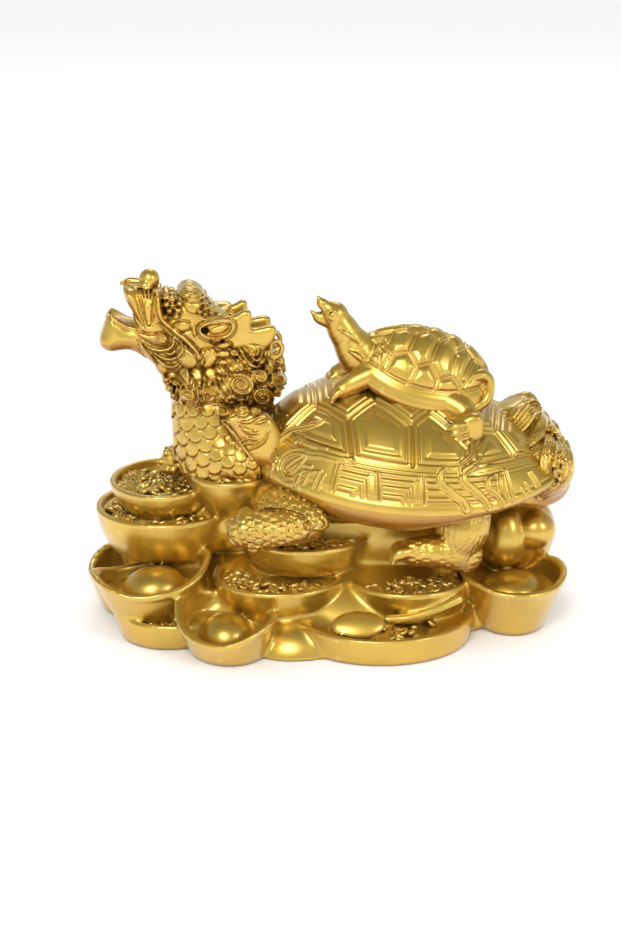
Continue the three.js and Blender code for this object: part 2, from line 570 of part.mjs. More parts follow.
// The small turtle that climbs over the shell, its shell drawn level and then pitched nose up
function hatchling() {
  const long = HATCHLING_LENGTH / 2;
  const wide = HATCHLING_WIDTH / 2;
  const sag = (x, y) => HATCHLING_SAG * y * y;
  const top = (x, y, relief = 0) => {
    const r = Math.min(Math.hypot(x, y), 1);
    return vector(long * x, wide * y, HATCHLING_RISE * (1 - r ** 2.1) ** 0.6 - sag(x, y) + relief);
  };
  const reach = [0, 0.45, 0.8, 1, 1.02, 0.85, 0];
  const domeRing = 3;
  const pointAt = (ring, angle) => {
    const x = reach[ring] * Math.cos(angle);
    const y = reach[ring] * Math.sin(angle);
    const under = [0, 0, 0, 0, -0.9, -2.2, -3.4][ring];
    return ring <= domeRing ? top(x, y) : vector(long * x, wide * y, under - sag(x, y));
  };
  const dome = solidOf(ringed(reach.length, 18, pointAt));
  const raised = (corners) => {
    const middle = corners.reduce(([a, b], [c, d]) => [a + c / corners.length, b + d / corners.length], [0, 0]);
    const slabPoint = (ring, angle) => {
      if (ring === 0) return top(...middle, -1);
      if (ring === 3) return top(...middle, 0.35);
      const corner = corners[Math.round((angle / fullTurn) * corners.length) % corners.length];
      const [x, y] = corner.map((value, i) => middle[i] + (value - middle[i]) * (ring === 1 ? 0.94 : 0.84));
      return top(x, y, ring === 1 ? -0.5 : 0.25);
    };
    return solidOf(ringed(4, corners.length, slabPoint));
  };
  const valleys = [-0.62, -0.24, 0.14, 0.52];
  const peaks = [-0.8, -0.43, -0.05, 0.33, 0.7];
  const plates = [
    ...valleys.map((x, i) => [
      [peaks[i], -0.2],
      [x, -0.36],
      [peaks[i + 1], -0.2],
      [peaks[i + 1], 0.2],
      [x, 0.36],
      [peaks[i], 0.2],
    ]),
    ...bothSides((side) =>
      valleys.slice(1).map((x, i) => [
        [valleys[i], 0.36 * side],
        [valleys[i], 0.74 * side],
        [x, 0.78 * side],
        [x, 0.36 * side],
        [peaks[i + 1], 0.2 * side],
      ]),
    ),
  ].map(raised);
  const [atX, atY, atZ] = HATCHLING_AT;
  const carapace = [dome, ...plates].map((piece) =>
    piece.rotate([0, HATCHLING_PITCH, 0]).translate([atX, atY, atZ]).scale([drawn, drawn, drawn]),
  );
  const neck = limb([[7, -2, 41.5], [4, -2, 44.4], [2, -2, 48], [0.8, -2, 50.6]], [3.8, 3.5, 2.6, 1.9], { sides: 8, rings: 7 });
  const skull = blob([0.7, -2, 50.3], [2, 1.9, 1.9], { around: 7, rings: 5 });
  const beak = limb([[0.4, -2, 51], [-1.2, -2, 52.2], [-1.9, -2, 53.4]], [1.4, 0.9, 0.3], { sides: 5, rings: 4 });
  const chin = limb([[0.6, -2, 49.4], [-1.4, -2, 49.9], [-2.9, -2, 51]], [1.4, 1.1, 0.4], { sides: 5, rings: 4 });
  const feet = bothSides((side) => [
    limb([[5.8, -2 + 3.6 * side, 41.4], [3, -2 + 4 * side, 39.9], [0.4, -2 + 4.2 * side, 38.2]], [1.9, 1.6, 1.2], {
      sides: 5,
      rings: 5,
    }),
    limb([[18, -2 + 5 * side, 37.4], [22.4, -2 + 7.4 * side, 36.2], [21.2, -2 + 10 * side, 33.2]], [2.4, 2.1, 1.5], {
      sides: 6,
      rings: 6,
      across: [1, 0, 0],
    }),
  ]);
  const tailTip = limb([[24, -2, 38.4], [26.2, -2, 38.8], [25.8, -2, 36.2]], [1.6, 1.2, 0.8], { sides: 5, rings: 5 });
  return [...carapace, neck, skull, beak, chin, ...feet, tailTip];
}

// The corners and triangles of the largest closed shell of a mesh, without the specks that joining can leave
function largestShell({ vertProperties, triVerts }) {
  const points = [];
  for (let i = 0; i < vertProperties.length; i += 3) points.push(vector(...vertProperties.slice(i, i + 3)));
  const group = points.map((_, i) => i);
  const groupOf = (i) => {
    while (group[i] !== i) i = group[i] = group[group[i]];
    return i;
  };
  const triangles = [];
  for (let i = 0; i < triVerts.length; i += 3) triangles.push([...triVerts.slice(i, i + 3)]);
  for (const [a, b, c] of triangles) {
    group[groupOf(b)] = groupOf(a);
    group[groupOf(c)] = groupOf(a);
  }
  const counts = new Map();
  for (const [a] of triangles) counts.set(groupOf(a), (counts.get(groupOf(a)) ?? 0) + 1);
  const largest = [...counts].sort((one, other) => other[1] - one[1])[0][0];
  return { points, triangles: triangles.filter(([a]) => groupOf(a) === largest) };
}

// The same shell with its least needed edges drawn together until it has no more triangles than asked.
// An edge may go if the surface stays closed, no face turns over and nothing leaves the ground.
function drawnTogether({ points, triangles }, most) {
  const faces = triangles.map((face) => [...face]);
  const facesAt = points.map(() => new Set());
  const planes = points.map(() => []);
  const triangle = new THREE.Triangle();
  const shapeOf = ([a, b, c]) => triangle.set(points[a], points[b], points[c]);
  faces.forEach((face, i) => {
    const normal = shapeOf(face).getNormal(vector(0, 0, 0));
    const plane = { normal, offset: -normal.dot(points[face[0]]), weight: triangle.getArea() };
    for (const corner of face) {
      facesAt[corner].add(i);
      planes[corner].push(plane);
    }
  });
  const onGround = (i) => Math.abs(points[i].z) < 1e-6;
  const neighbours = (i) => new Set([...facesAt[i]].flatMap((face) => faces[face]).filter((j) => j !== i));
  const strayOf = (known, point) =>
    known.reduce((sum, { normal, offset, weight }) => sum + weight * (normal.dot(point) + offset) ** 2, 0);
  const turnsOver = (i, other, point) =>
    [...facesAt[i]].some((index) => {
      const face = faces[index];
      if (face.includes(other)) return false;
      const before = shapeOf(face).getNormal(vector(0, 0, 0));
      const moved = face.map((corner) => (corner === i ? point : points[corner]));
      triangle.set(...moved);
      return triangle.getArea() < 2e-3 || triangle.getNormal(vector(0, 0, 0)).dot(before) < 0.25;
    });
  let left = faces.length;
  for (let pass = 0; pass < 30 && left > most; pass += 1) {
    const edges = [];
    faces.forEach((face) => {
      if (!face) return;
      face.forEach((a, i) => {
        const b = face[(i + 1) % 3];
        if (a > b) return;
        const [groundA, groundB] = [onGround(a), onGround(b)];
        const choices = [
          ...(groundA || !groundB ? [points[a]] : []),
          ...(groundB || !groundA ? [points[b]] : []),
          ...(groundA === groundB ? [points[a].clone().lerp(points[b], 0.5)] : []),
        ];
        const known = [...planes[a], ...planes[b]];
        const length = points[a].distanceTo(points[b]);
        const rated = choices.map((point) => ({ a, b, point, stray: strayOf(known, point) + 1e-4 * length ** 3 }));
        edges.push(rated.sort((one, other) => one.stray - other.stray)[0]);
      });
    });
    edges.sort((one, other) => one.stray - other.stray);
    const touched = new Set();
    for (const { a, b, point } of edges.slice(0, Math.ceil(edges.length / 5))) {
      if (left <= most) break;
      const [nearA, nearB] = [neighbours(a), neighbours(b)];
      if ([a, b, ...nearA, ...nearB].some((i) => touched.has(i))) continue;
      if ([...nearA].filter((i) => nearB.has(i)).length !== 2) continue;
      if (turnsOver(a, b, point) || turnsOver(b, a, point)) continue;
      for (const index of [...facesAt[b]]) {
        const face = faces[index];
        if (face.includes(a)) {
          for (const corner of face) facesAt[corner].delete(index);
          faces[index] = null;
          left -= 1;
        } else {
          face[face.indexOf(b)] = a;
          facesAt[a].add(index);
        }
      }
      facesAt[b].clear();
      planes[a] = [...new Set([...planes[a], ...planes[b]])];
      points[a] = point.clone();
      for (const i of [a, ...nearA, ...nearB]) touched.add(i);
    }
  }
  return { points, triangles: faces.filter((face) => face) };
}

// Everything joined, cut flat below, with the middle of its box over the origin
function figure() {
  const pieces = [...pile(), ...shell(), ...body(), ...head(), ...mane(), ...tail(), ...hatchling()];
  const joined = pieces.reduce((whole, piece) => whole.add(piece));
  const ground = new THREE.BoxGeometry(4 * FIGURE_LENGTH, 4 * FIGURE_LENGTH, FIGURE_LENGTH);
  ground.translate(0, 0, -FIGURE_LENGTH / 2);
  const standing = joined.subtract(solidOf(ground));
  const { min, max } = standing.boundingBox();
  return standing.translate([-(min[0] + max[0]) / 2, -(min[1] + max[1]) / 2, 0]);
}

const { points, triangles } = drawnTogether(largestShell(figure().getMesh()), MOST_TRIANGLES);
const corners = triangles.flat();
const used = [...new Set(corners)];
const numberOf = new Map(used.map((corner, i) => [corner, i]));
const geometry = new THREE.BufferGeometry();
geometry.setFromPoints(used.map((corner) => points[corner]));
geometry.setIndex(corners.map((corner) => numberOf.get(corner)));
geometry.computeVertexNormals();

const goldPaint = new THREE.MeshStandardMaterial({ color: 0xc89a2b, roughness: 0.34, metalness: 0.85 });
const dragonTurtle = new THREE.Mesh(geometry, goldPaint);
dragonTurtle.name = 'dragon_turtle';

const root = new THREE.Group();
root.add(dragonTurtle);
export default root;
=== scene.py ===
import math
import time

import bpy
import numpy as np
from mathutils import Euler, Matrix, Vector


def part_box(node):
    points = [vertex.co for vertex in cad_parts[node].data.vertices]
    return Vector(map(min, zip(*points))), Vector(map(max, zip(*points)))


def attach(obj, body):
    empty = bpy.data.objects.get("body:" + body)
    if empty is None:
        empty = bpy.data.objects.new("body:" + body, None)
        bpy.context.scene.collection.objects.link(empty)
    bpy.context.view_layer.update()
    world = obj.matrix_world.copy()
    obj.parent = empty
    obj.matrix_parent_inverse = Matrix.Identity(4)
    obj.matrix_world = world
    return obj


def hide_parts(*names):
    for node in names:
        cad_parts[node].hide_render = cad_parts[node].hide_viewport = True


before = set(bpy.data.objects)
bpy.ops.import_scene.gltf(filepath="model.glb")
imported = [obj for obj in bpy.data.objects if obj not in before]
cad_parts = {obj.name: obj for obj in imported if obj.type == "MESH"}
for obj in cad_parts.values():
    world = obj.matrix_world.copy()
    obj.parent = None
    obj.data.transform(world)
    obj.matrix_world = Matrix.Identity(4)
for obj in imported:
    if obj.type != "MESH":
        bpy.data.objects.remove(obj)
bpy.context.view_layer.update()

# A dragon turtle cast in one piece and painted gold. Sizes are millimetres until a piece becomes a mesh.
# Points are written about the figure's drawing axes, and castShift moves them onto the solid.
mm = 0.001
castShift = np.array([-0.125, -0.26, 0.0])
solidLow, solidHigh = (np.array(corner, float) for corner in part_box("dragon_turtle"))
started = time.time()


# A line for each stage, after the seconds so far
def report(words):
    print(f"{time.time() - started:6.1f} s  {words}")


# The camera looks down on the figure from a little left of its front. aim shows at aimPixel
view = {
    "turn": -5.0,          # degrees round the figure
    "rise": 19.0,          # degrees above the ground
    "away": 300.0,
    "aim": (0.0, 0.0, 29.0),
    "aimPixel": (329.0, 439.6),
    "pixelsPerMm": 6.18,
    "picture": (621, 931),
    "sensor": 36.0,
    "nearest": 0.01,       # metres, as every length that Blender takes
}
turn, rise = math.radians(view["turn"]), math.radians(view["rise"])
backward = np.array([math.sin(turn) * math.cos(rise), -math.cos(turn) * math.cos(rise), math.sin(rise)])
eye = np.array(view["aim"]) + view["away"] * backward

camera = bpy.data.objects.new("camera", bpy.data.cameras.new("camera"))
bpy.context.scene.collection.objects.link(camera)
camera.location = Vector((eye + castShift) * mm)
camera.rotation_euler = Euler((math.pi / 2 - rise, 0, turn))
camera.data.sensor_width = view["sensor"]
longSide = max(view["picture"])
camera.data.lens = view["sensor"] * view["pixelsPerMm"] * view["away"] / longSide
camera.data.shift_x = (view["picture"][0] / 2 - view["aimPixel"][0]) / longSide
camera.data.shift_y = (view["aimPixel"][1] - view["picture"][1] / 2) / longSide
camera.data.clip_start = view["nearest"]
bpy.context.scene.camera = camera


# Cubic curve through the points, its tangents taken over knots spaced by the root of each chord
def smoothLine(points, count):
    points = np.asarray(points, float)
    chords = np.linalg.norm(np.diff(points, axis=0), axis=1)
    t = np.concatenate([[0], np.cumsum(np.sqrt(chords))])
    t /= t[-1]
    slope = np.gradient(points, t, axis=0)
    u = np.linspace(0, 1, count)
    k = np.clip(np.searchsorted(t, u, side="right") - 1, 0, len(t) - 2)
    h = (t[k + 1] - t[k])[:, None]
    s = (u - t[k])[:, None] / h
    return ((2 * s**3 - 3 * s**2 + 1) * points[k] + (s**3 - 2 * s**2 + s) * h * slope[k]
            + (3 * s**2 - 2 * s**3) * points[k + 1] + (s**3 - s**2) * h * slope[k + 1])


# Straight lines between points, each cut into equal parts
def broken(points, parts):
    points = np.asarray(points, float)
    share = np.linspace(0, 1, parts + 1)[:-1, None]
    pieces = [a + share * (b - a) for a, b in zip(points[:-1], points[1:])]
    return np.concatenate([*pieces, points[-1:]])


# A curve through a closed ring of points, its tangent at each the half of the way between its neighbours
def smoothRing(points, count):
    points = np.asarray(points, float)
    u = np.arange(count) / count * len(points)
    k = u.astype(int)
    s = (u - k)[:, None]
    before, here, after, beyond = (points[(k + i) % len(points)] for i in (-1, 0, 1, 2))
    return 0.5 * (2 * here + (after - before) * s + (2 * before - 5 * here + 4 * after - beyond) * s**2
                  + (3 * here - before - 3 * after + beyond) * s**3)


# Climbs from 0 at low to 1 at high as s^2 (3 - 2 s)
def smoothStep(low, high, x):
    s = np.clip((x - low) / (high - low), 0, 1)
    return s * s * (3 - 2 * s)


# A bump that falls away as exp(-(x / wide)^power)
def bump(x, wide, power=2):
    return np.exp(-((x / wide) ** power))


# Values spread evenly over 0..1, eased from each to the next
def eased(values, t):
    values = np.asarray(values, float)
    along = np.clip(t, 0, 1) * (len(values) - 1)
    k = np.minimum(along.astype(int), len(values) - 2)
    s = along - k
    s = s * s * (3 - 2 * s)
    return values[k] * (1 - s) + values[k + 1] * s


# Four-sided faces between neighbours in a grid of points, the last column joined to the first when closed
def gridFaces(rows, columns, closed=False):
    i = np.arange(rows - 1)[:, None] * columns
    j = np.arange(columns if closed else columns - 1)[None, :]
    k = (j + 1) % columns
    return np.stack([i + j, i + k, i + columns + k, i + columns + j], -1).reshape(-1, 4)


# A block holds the distance to the casting's skin in every cell, less than nothing inside it.
# A cell that no form comes near keeps 9 mm
def newBlock(box, step, reach=0.0):
    low, high = np.array(box, float)
    cells = np.ceil((high - low) / step).astype(int) + 1
    return {"low": low, "step": step, "reach": reach + 3 * step, "d": np.full(cells, 9.0, np.float32)}


# The part of a block within reach of a box, with its cells' x, y and z. Off the block it has no cells
def windowOf(block, low, high):
    cells = np.array(block["d"].shape)
    a = np.clip(np.floor((np.asarray(low) - block["low"]) / block["step"]).astype(int), 0, cells)
    b = np.clip(np.ceil((np.asarray(high) - block["low"]) / block["step"]).astype(int) + 1, 0, cells)
    x, y, z = (
        (block["low"][i] + block["step"] * np.arange(a[i], b[i])).astype(np.float32) for i in range(3)
    )
    place = tuple(slice(a[i], b[i]) for i in range(3))
    return place, x[:, None, None], y[None, :, None], z[None, None, :]


# The lesser of two distances, with a fillet in the corner between the forms:
# a (1 - h) + b h - fillet h (1 - h) with h = (1 + (a - b) / fillet) / 2
def joined(a, b, fillet):
    h = np.clip(0.5 + 0.5 * (a - b) / fillet, 0, 1)
    return a * (1 - h) + b * h - fillet * h * (1 - h)


# Joins a form's distance to the block
def joinTo(block, place, form, fillet):
    block["d"][place] = joined(block["d"][place], form, fillet)


# Cuts a form out of the block, with the cut's edge rounded by 0.1 mm: the greater of two distances is the
# lesser of both turned round
def cutFrom(block, place, form):
    block["d"][place] = -joined(-block["d"][place], form, 0.1)


# Places as seen along axes that are turned by the given degrees
def alongTurned(p, degrees):
    m = np.array(Euler([math.radians(a) for a in degrees]).to_matrix()).T
    return [m[i, 0] * p[0] + m[i, 1] * p[1] + m[i, 2] * p[2] for i in range(3)]


# An ellipsoid's distance is k (k - 1) / |p / r^2| with k = |p / r|
def eggDistance(p, radii):
    near = np.sqrt(sum((p[i] / radii[i]) ** 2 for i in range(3)))
    slope = np.sqrt(sum((p[i] / radii[i] ** 2) ** 2 for i in range(3))) + 1e-6
    return near * (near - 1) / slope


# A ball, or an egg with a radius along each of its axes, turned by degrees
def addBall(block, centre, radii, fillet=0.6, turned=(0, 0, 0)):
    radii = np.broadcast_to(np.asarray(radii, float), 3)
    centre = np.asarray(centre, float)
    reach = radii.max() + fillet + block["reach"]
    place, x, y, z = windowOf(block, centre - reach, centre + reach)
    p = [x - centre[0], y - centre[1], z - centre[2]]
    if any(turned):
        p = alongTurned(p, turned)
    joinTo(block, place, eggDistance(p, radii), fillet)


# The stretches of a line, one by one: the share of each that is nearest to every place, and the way from
# there to the place
def stretchesOf(line, places):
    for k in range(len(line) - 1):
        step = line[k + 1] - line[k]
        off = [place - start for place, start in zip(places, line[k])]
        t = np.clip(sum(a * b for a, b in zip(off, step)) / (step @ step + 1e-9), 0, 1)
        yield k, step, t, [a - t * b for a, b in zip(off, step)]


# A tube along a smooth line, its radius eased through the given values, its section flat times as wide in y.
# Scales, where they are given, run round it and along it
def addTube(block, points, radii, fillet=0.2, flat=1.0, count=None, cut=False, scales=None, straight=False):
    points = np.asarray(points, float)
    line = points if straight else smoothLine(points, count or max(6, 5 * len(points)))
    r = eased(radii, np.linspace(0, 1, len(line)))
    reach = r.max() * max(flat, 1) + fillet + block["reach"]
    place, x, y, z = windowOf(block, line.min(0) - reach, line.max(0) + reach)
    squeeze = 1 / flat - 1
    line = line + [0, squeeze, 0] * line
    p = [x + 0 * y + 0 * z, y + squeeze * y + 0 * x + 0 * z, z + 0 * x + 0 * y]
    lengths = np.concatenate([[0], np.cumsum(np.linalg.norm(np.diff(line, axis=0), axis=1))])
    best, angle, along = (np.full(p[0].shape, value, np.float32) for value in (1e3, 0, 0))
    for k, step, t, off in stretchesOf(line, p):
        form = np.sqrt(off[0] ** 2 + off[1] ** 2 + off[2] ** 2) - (r[k] + t * (r[k + 1] - r[k]))
        if scales:
            side = np.cross(step, scales["up"])
            side /= np.linalg.norm(side) + 1e-9
            up = np.cross(side, step)
            up /= np.linalg.norm(up) + 1e-9
            turn = np.arctan2(*(sum(a * b for a, b in zip(off, way)) for way in (side, up)))
            angle = np.where(form < best, turn, angle)
            along = np.where(form < best, lengths[k] + t * (lengths[k + 1] - lengths[k]), along)
        best = np.minimum(best, form)
    if scales:
        around = angle / (2 * math.pi) * scales["around"]
        best = best - scaleRelief(around, along / scales["long"], scales["high"])
    if cut:
        cutFrom(block, place, best)
    else:
        joinTo(block, place, best, fillet)


# Rows of scales: each rises to its round lower edge, which covers the root of the next row.
# u counts scales across a row and v counts rows
def scaleRelief(u, v, high):
    row = np.floor(v)
    height, first = np.zeros_like(u), np.zeros(u.shape, bool)
    for above in (1, 0):
        k = row - above
        du = np.mod(u + 0.5 * np.mod(k, 2), 1) - 0.5
        dv = v - k
        tip = 0.62 + 0.72 * np.sqrt(np.clip(1 - (2 * du) ** 2, 0, 1))
        covers = dv < tip
        share = np.clip(dv / tip, 0, 1)
        lip = 1 - 0.95 * smoothStep(0.87, 1.0, share)
        crown = 1 - 0.75 * np.abs(2 * du) ** 5
        form = high * (0.4 + 0.6 * share) * lip * crown
        height = np.where(first, height, np.where(covers, form, 0))
        first = covers if above else first
    return height


# Signed distance in a plane to a closed outline, less than nothing inside it. A place is inside when a line
# from it crosses the outline an odd number of times
def outlineDistance(a, b, outline):
    nearest = np.full(np.broadcast(a, b).shape, 1e6)
    inside = np.zeros(nearest.shape, bool)
    for (ax, az), (bx, bz) in zip(outline, np.roll(outline, -1, axis=0)):
        ex, ez = bx - ax, bz - az
        t = np.clip(((a - ax) * ex + (b - az) * ez) / (ex * ex + ez * ez + 1e-12), 0, 1)
        nearest = np.minimum(nearest, (a - ax - t * ex) ** 2 + (b - az - t * ez) ** 2)
        if az != bz:
            inside ^= ((az > b) != (bz > b)) & (a < (bx - ax) * (b - az) / (bz - az) + ax)
    return np.where(inside, -1, 1) * np.sqrt(nearest)


# A body with the given side view in x and z that stands across y. It is thickest well inside and thins to
# its edge: the share of half is thin + (1 - thin) sqrt(1 - (1 - depth)^2), with depth 1 from inward on
def addSlab(block, outline, half, y=0.0, thin=0.45, inward=2.5, fillet=0.4):
    shape = smoothRing(outline, 72)
    reach = fillet + block["reach"]
    (lowX, lowZ), (highX, highZ) = shape.min(0) - reach, shape.max(0) + reach
    place, x, across, z = windowOf(block, [lowX, y - half - reach, lowZ], [highX, y + half + reach, highZ])
    side = outlineDistance(x[:, 0, :], z[0], shape)[:, None, :].astype(np.float32)
    depth = np.clip(-side / inward, 0, 1)
    thick = half * (thin + (1 - thin) * np.sqrt(1 - (1 - depth) ** 2))
    face = np.abs(across - y) - thick
    edge = 0.5
    joinTo(block, place, -joined(-face, -side, edge), fillet)


# Surface nets: one point in each cell that the skin crosses, at the mean of its edges' crossings,
# and one four-sided face round each cell edge that it crosses
def skinOf(block):
    d = block["d"]
    inside = d < 0
    nx, ny, nz = d.shape
    corners = [(i, j, k) for i in (0, 1) for j in (0, 1) for k in (0, 1)]
    count = sum(inside[i:nx - 1 + i, j:ny - 1 + j, k:nz - 1 + k].astype(np.int8) for i, j, k in corners)
    cell = np.argwhere((count > 0) & (count < 8))
    values = np.stack([d[cell[:, 0] + i, cell[:, 1] + j, cell[:, 2] + k] for i, j, k in corners], 1)
    total, hits = np.zeros((len(cell), 3)), np.zeros(len(cell))
    for a in range(8):
        for b in range(a + 1, 8):
            step = np.subtract(corners[b], corners[a])
            if abs(step).sum() != 1:
                continue
            crossed = (values[:, a] < 0) != (values[:, b] < 0)
            share = np.where(crossed, values[:, a] / np.where(crossed, values[:, a] - values[:, b], 1), 0)
            total += np.where(crossed[:, None], np.array(corners[a]) + share[:, None] * step, 0)
            hits += crossed
    points = block["low"] + block["step"] * (cell + total / hits[:, None])
    number = np.full((nx, ny, nz), -1, np.int64)
    number[tuple(cell.T)] = np.arange(len(cell))
    faces = []
    for axis in range(3):
        first, second = [a for a in range(3) if a != axis]
        ahead = np.take(inside, range(1, d.shape[axis]), axis)
        behind = np.take(inside, range(0, d.shape[axis] - 1), axis)
        edge = np.argwhere(ahead != behind)
        edge = edge[(edge[:, first] > 0) & (edge[:, second] > 0)]
        outward = behind[tuple(edge.T)]
        ring = []
        for u, v in ((0, 0), (1, 0), (1, 1), (0, 1)):
            at = edge.copy()
            at[:, first] -= u
            at[:, second] -= v
            ring.append(number[tuple(at.T)])
        ring = np.stack(ring, 1)
        flip = outward if axis == 1 else ~outward
        ring[flip] = ring[flip][:, ::-1]
        faces.append(ring)
    faces = np.concatenate(faces)
    return points, faces[(faces >= 0).all(1)]


# Each point moved halfway to the mean of its neighbours
def relaxed(points, faces):
    pairs = np.concatenate([faces[:, [i, (i + 1) % 4]] for i in range(4)])
    pairs = np.concatenate([pairs, pairs[:, ::-1]])
    degree = np.bincount(pairs[:, 0], minlength=len(points))[:, None]
    total = np.stack([np.bincount(pairs[:, 0], points[pairs[:, 1], i], len(points)) for i in range(3)], 1)
    return points + 0.5 * (total / degree - points)


# Relief as the camera sees it: heights over x and z on the plane y = -plane. A line of sight carries
# each height on to the skin, and the far side takes the near side's mirror
def newSheet(low, high, plane):
    step = 0.08
    low = np.array(low, float)
    cells = np.ceil((np.array(high, float) - low) / step).astype(int)
    x, z = (low[i] + step * np.arange(cells[i]) for i in (0, 1))
    return {"low": low, "step": step, "plane": plane, "x": x[:, None], "z": z[None, :],
            "h": np.zeros(cells)}


# Points given on another plane, moved along their lines of sight to the sheet's own
def ontoSheet(sheet, points, plane):
    points = np.asarray(points, float).reshape(-1, 2)
    share = 1 if plane is None else (-sheet["plane"] - eye[1]) / (-plane - eye[1])
    return eye[[0, 2]] + (points - eye[[0, 2]]) * share


# The part of a sheet within a box, with its cells' x and z
def sheetWindow(sheet, low, high):
    cells = sheet["h"].shape
    a = [int(np.clip((low[i] - sheet["low"][i]) / sheet["step"], 0, cells[i] - 1)) for i in (0, 1)]
    b = [int(np.clip((high[i] - sheet["low"][i]) / sheet["step"] + 2, a[i] + 1, cells[i])) for i in (0, 1)]
    place = (slice(a[0], b[0]), slice(a[1], b[1]))
    return place, sheet["x"][place[0]], sheet["z"][:, place[1]]


# A line on the sheet: a round ridge with a groove beside it, or with less than no height a groove.
# It stands on what is there already
def drawLine(sheet, points, radii, high=0.5, plane=None, groove=0.15, straight=False):
    points = ontoSheet(sheet, points, plane)
    line = broken(points, 3) if straight else smoothLine(points, 5 * len(points))
    r = eased(radii, np.linspace(0, 1, len(line)))
    reach = r.max() + 0.4
    place, x, z = sheetWindow(sheet, line.min(0) - reach, line.max(0) + reach)
    best, base = np.full((x.shape[0], z.shape[1]), 9.0), np.zeros((x.shape[0], z.shape[1]))
    for k, _, t, off in stretchesOf(line, (x, z)):
        wide = r[k] + t * (r[k + 1] - r[k])
        far = np.hypot(*off) - wide
        base = np.where(far < best, wide, base)
        best = np.minimum(best, far)
    share = np.clip(1 + best / np.maximum(base, 1e-3), 0, 1)
    form = high * np.sqrt(np.maximum(0, 1 - share**2)) * np.minimum(1, base / max(r.max(), 1e-3)) ** 0.5
    sheet["h"][place] += form - groove * bump(best - 0.1, 0.12) * (best > 0)


# A dome with a groove round it. With a pitch its skin carries a spiral, cos 2 pi (r / pitch - angle / 2 pi)
def drawDome(sheet, centre, radii, high, plane=None, tilt=0.0, pitch=0.0, hand=1, ridge=0.14, groove=0.2,
             join=True):
    centre = ontoSheet(sheet, [centre], plane)[0]
    a, b = np.broadcast_to(np.asarray(radii, float), 2)
    reach = max(a, b) + 0.5
    place, x, z = sheetWindow(sheet, centre - reach, centre + reach)
    c, s = math.cos(math.radians(tilt)), math.sin(math.radians(tilt))
    p, q = (x - centre[0]) * c + (z - centre[1]) * s, (z - centre[1]) * c - (x - centre[0]) * s
    r = np.hypot(p / a, q / b)
    far = r * min(a, b)
    form = high * np.sqrt(np.clip(1 - 0.8 * r * r, 0, 1))
    if pitch:
        turn = np.arctan2(q, p) * hand / (2 * math.pi)
        form = form + ridge * np.cos(2 * math.pi * (far / pitch - turn)) * smoothStep(0.1, 0.5, far / pitch)
    old = sheet["h"][place]
    inside = np.maximum(old, form) if join else old + form
    sheet["h"][place] = np.where(r < 1, inside, old - groove * bump(far - min(a, b) - 0.12, 0.14))


# A raised field with a round edge, and with a rim along its edge if the hollow inside it is given a depth
def drawField(sheet, outline, high, plane=None, edge=0.5, hollow=0.0, groove=0.15):
    rim = 0.4
    shape = smoothRing(ontoSheet(sheet, outline, plane), 60)
    place, x, z = sheetWindow(sheet, shape.min(0) - 0.6, shape.max(0) + 0.6)
    side = outlineDistance(x, z, shape)
    depth = np.clip(-side / edge, 0, 1)
    form = high * np.sqrt(1 - (1 - depth) ** 2) - hollow * smoothStep(rim, rim + 0.5, -side)
    form = form - groove * bump(side - 0.1, 0.12) * (side > 0)
    sheet["h"][place] += np.where(side < 0.5, form, 0)


# Rows of scales that run down a limb's middle line. Across it they close up towards the limb's sides, as
# asin of the share of its half width. An outline keeps them inside a field
def drawScales(sheet, points, radii, width, long, high, within, plane=None, grain=0.0):
    line = smoothLine(ontoSheet(sheet, points, plane), 6 * len(points))
    r = eased(radii, np.linspace(0, 1, len(line)))
    reach = r.max() + 0.2
    place, x, z = sheetWindow(sheet, line.min(0) - reach, line.max(0) + reach)
    best, along, across, wide = (np.full((x.shape[0], z.shape[1]), v) for v in (99.0, 0.0, 0.0, 1.0))
    passed = 0.0
    for k in range(len(line) - 1):
        step = line[k + 1] - line[k]
        size = np.hypot(*step)
        ahead = ((x - line[k, 0]) * step[0] + (z - line[k, 1]) * step[1]) / size**2
        t = np.clip(ahead, -0.5 if k == 0 else 0, 1)
        far = np.hypot(x - line[k, 0] - t * step[0], z - line[k, 1] - t * step[1])
        side = np.sign((x - line[k, 0]) * step[1] - (z - line[k, 1]) * step[0])
        nearer = far < best
        along = np.where(nearer, passed + t * size, along)
        across = np.where(nearer, side * far, across)
        wide = np.where(nearer, r[k], wide)
        best = np.minimum(best, far)
        passed += size
    u = wide * np.arcsin(np.clip(across / wide, -0.98, 0.98)) / width
    form = scaleRelief(u, along / long, high)
    form = form + grain * np.sin(9 * x + 4 * z) * np.sin(7 * z - 5 * x)
    field = np.abs(across) < wide * 0.98
    field &= outlineDistance(x, z, smoothRing(ontoSheet(sheet, within, plane), 60)) < 0
    sheet["h"][place] += np.where(field, form, 0)


# Lays the sheet's relief on the cells near the block's skin. Towards the middle plane it fades out, over
# 1.2 mm about |y| = least
def pressSheet(block, sheet, least):
    cells = np.argwhere(np.abs(block["d"]) < 1.7)
    points = block["low"] + cells * block["step"]
    y = -np.abs(points[:, 1])
    share = (-sheet["plane"] - eye[1]) / (y - eye[1])
    u = (eye[0] + (points[:, 0] - eye[0]) * share - sheet["low"][0]) / sheet["step"]
    v = (eye[2] + (points[:, 2] - eye[2]) * share - sheet["low"][1]) / sheet["step"]
    most = np.array(sheet["h"].shape) - 2
    inSheet = (u >= 0) & (v >= 0) & (u < most[0]) & (v < most[1])
    cells, y, u, v = cells[inSheet], y[inSheet], u[inSheet], v[inSheet]
    i, j = u.astype(int), v.astype(int)
    s, t = u - i, v - j
    h = sheet["h"]
    here, above = ((h[i, k] * (1 - s) + h[i + 1, k] * s) for k in (j, j + 1))
    value = here * (1 - t) + above * t
    block["d"][tuple(cells.T)] -= (value * smoothStep(least - 0.8, least + 0.4, -y)).astype(np.float32)


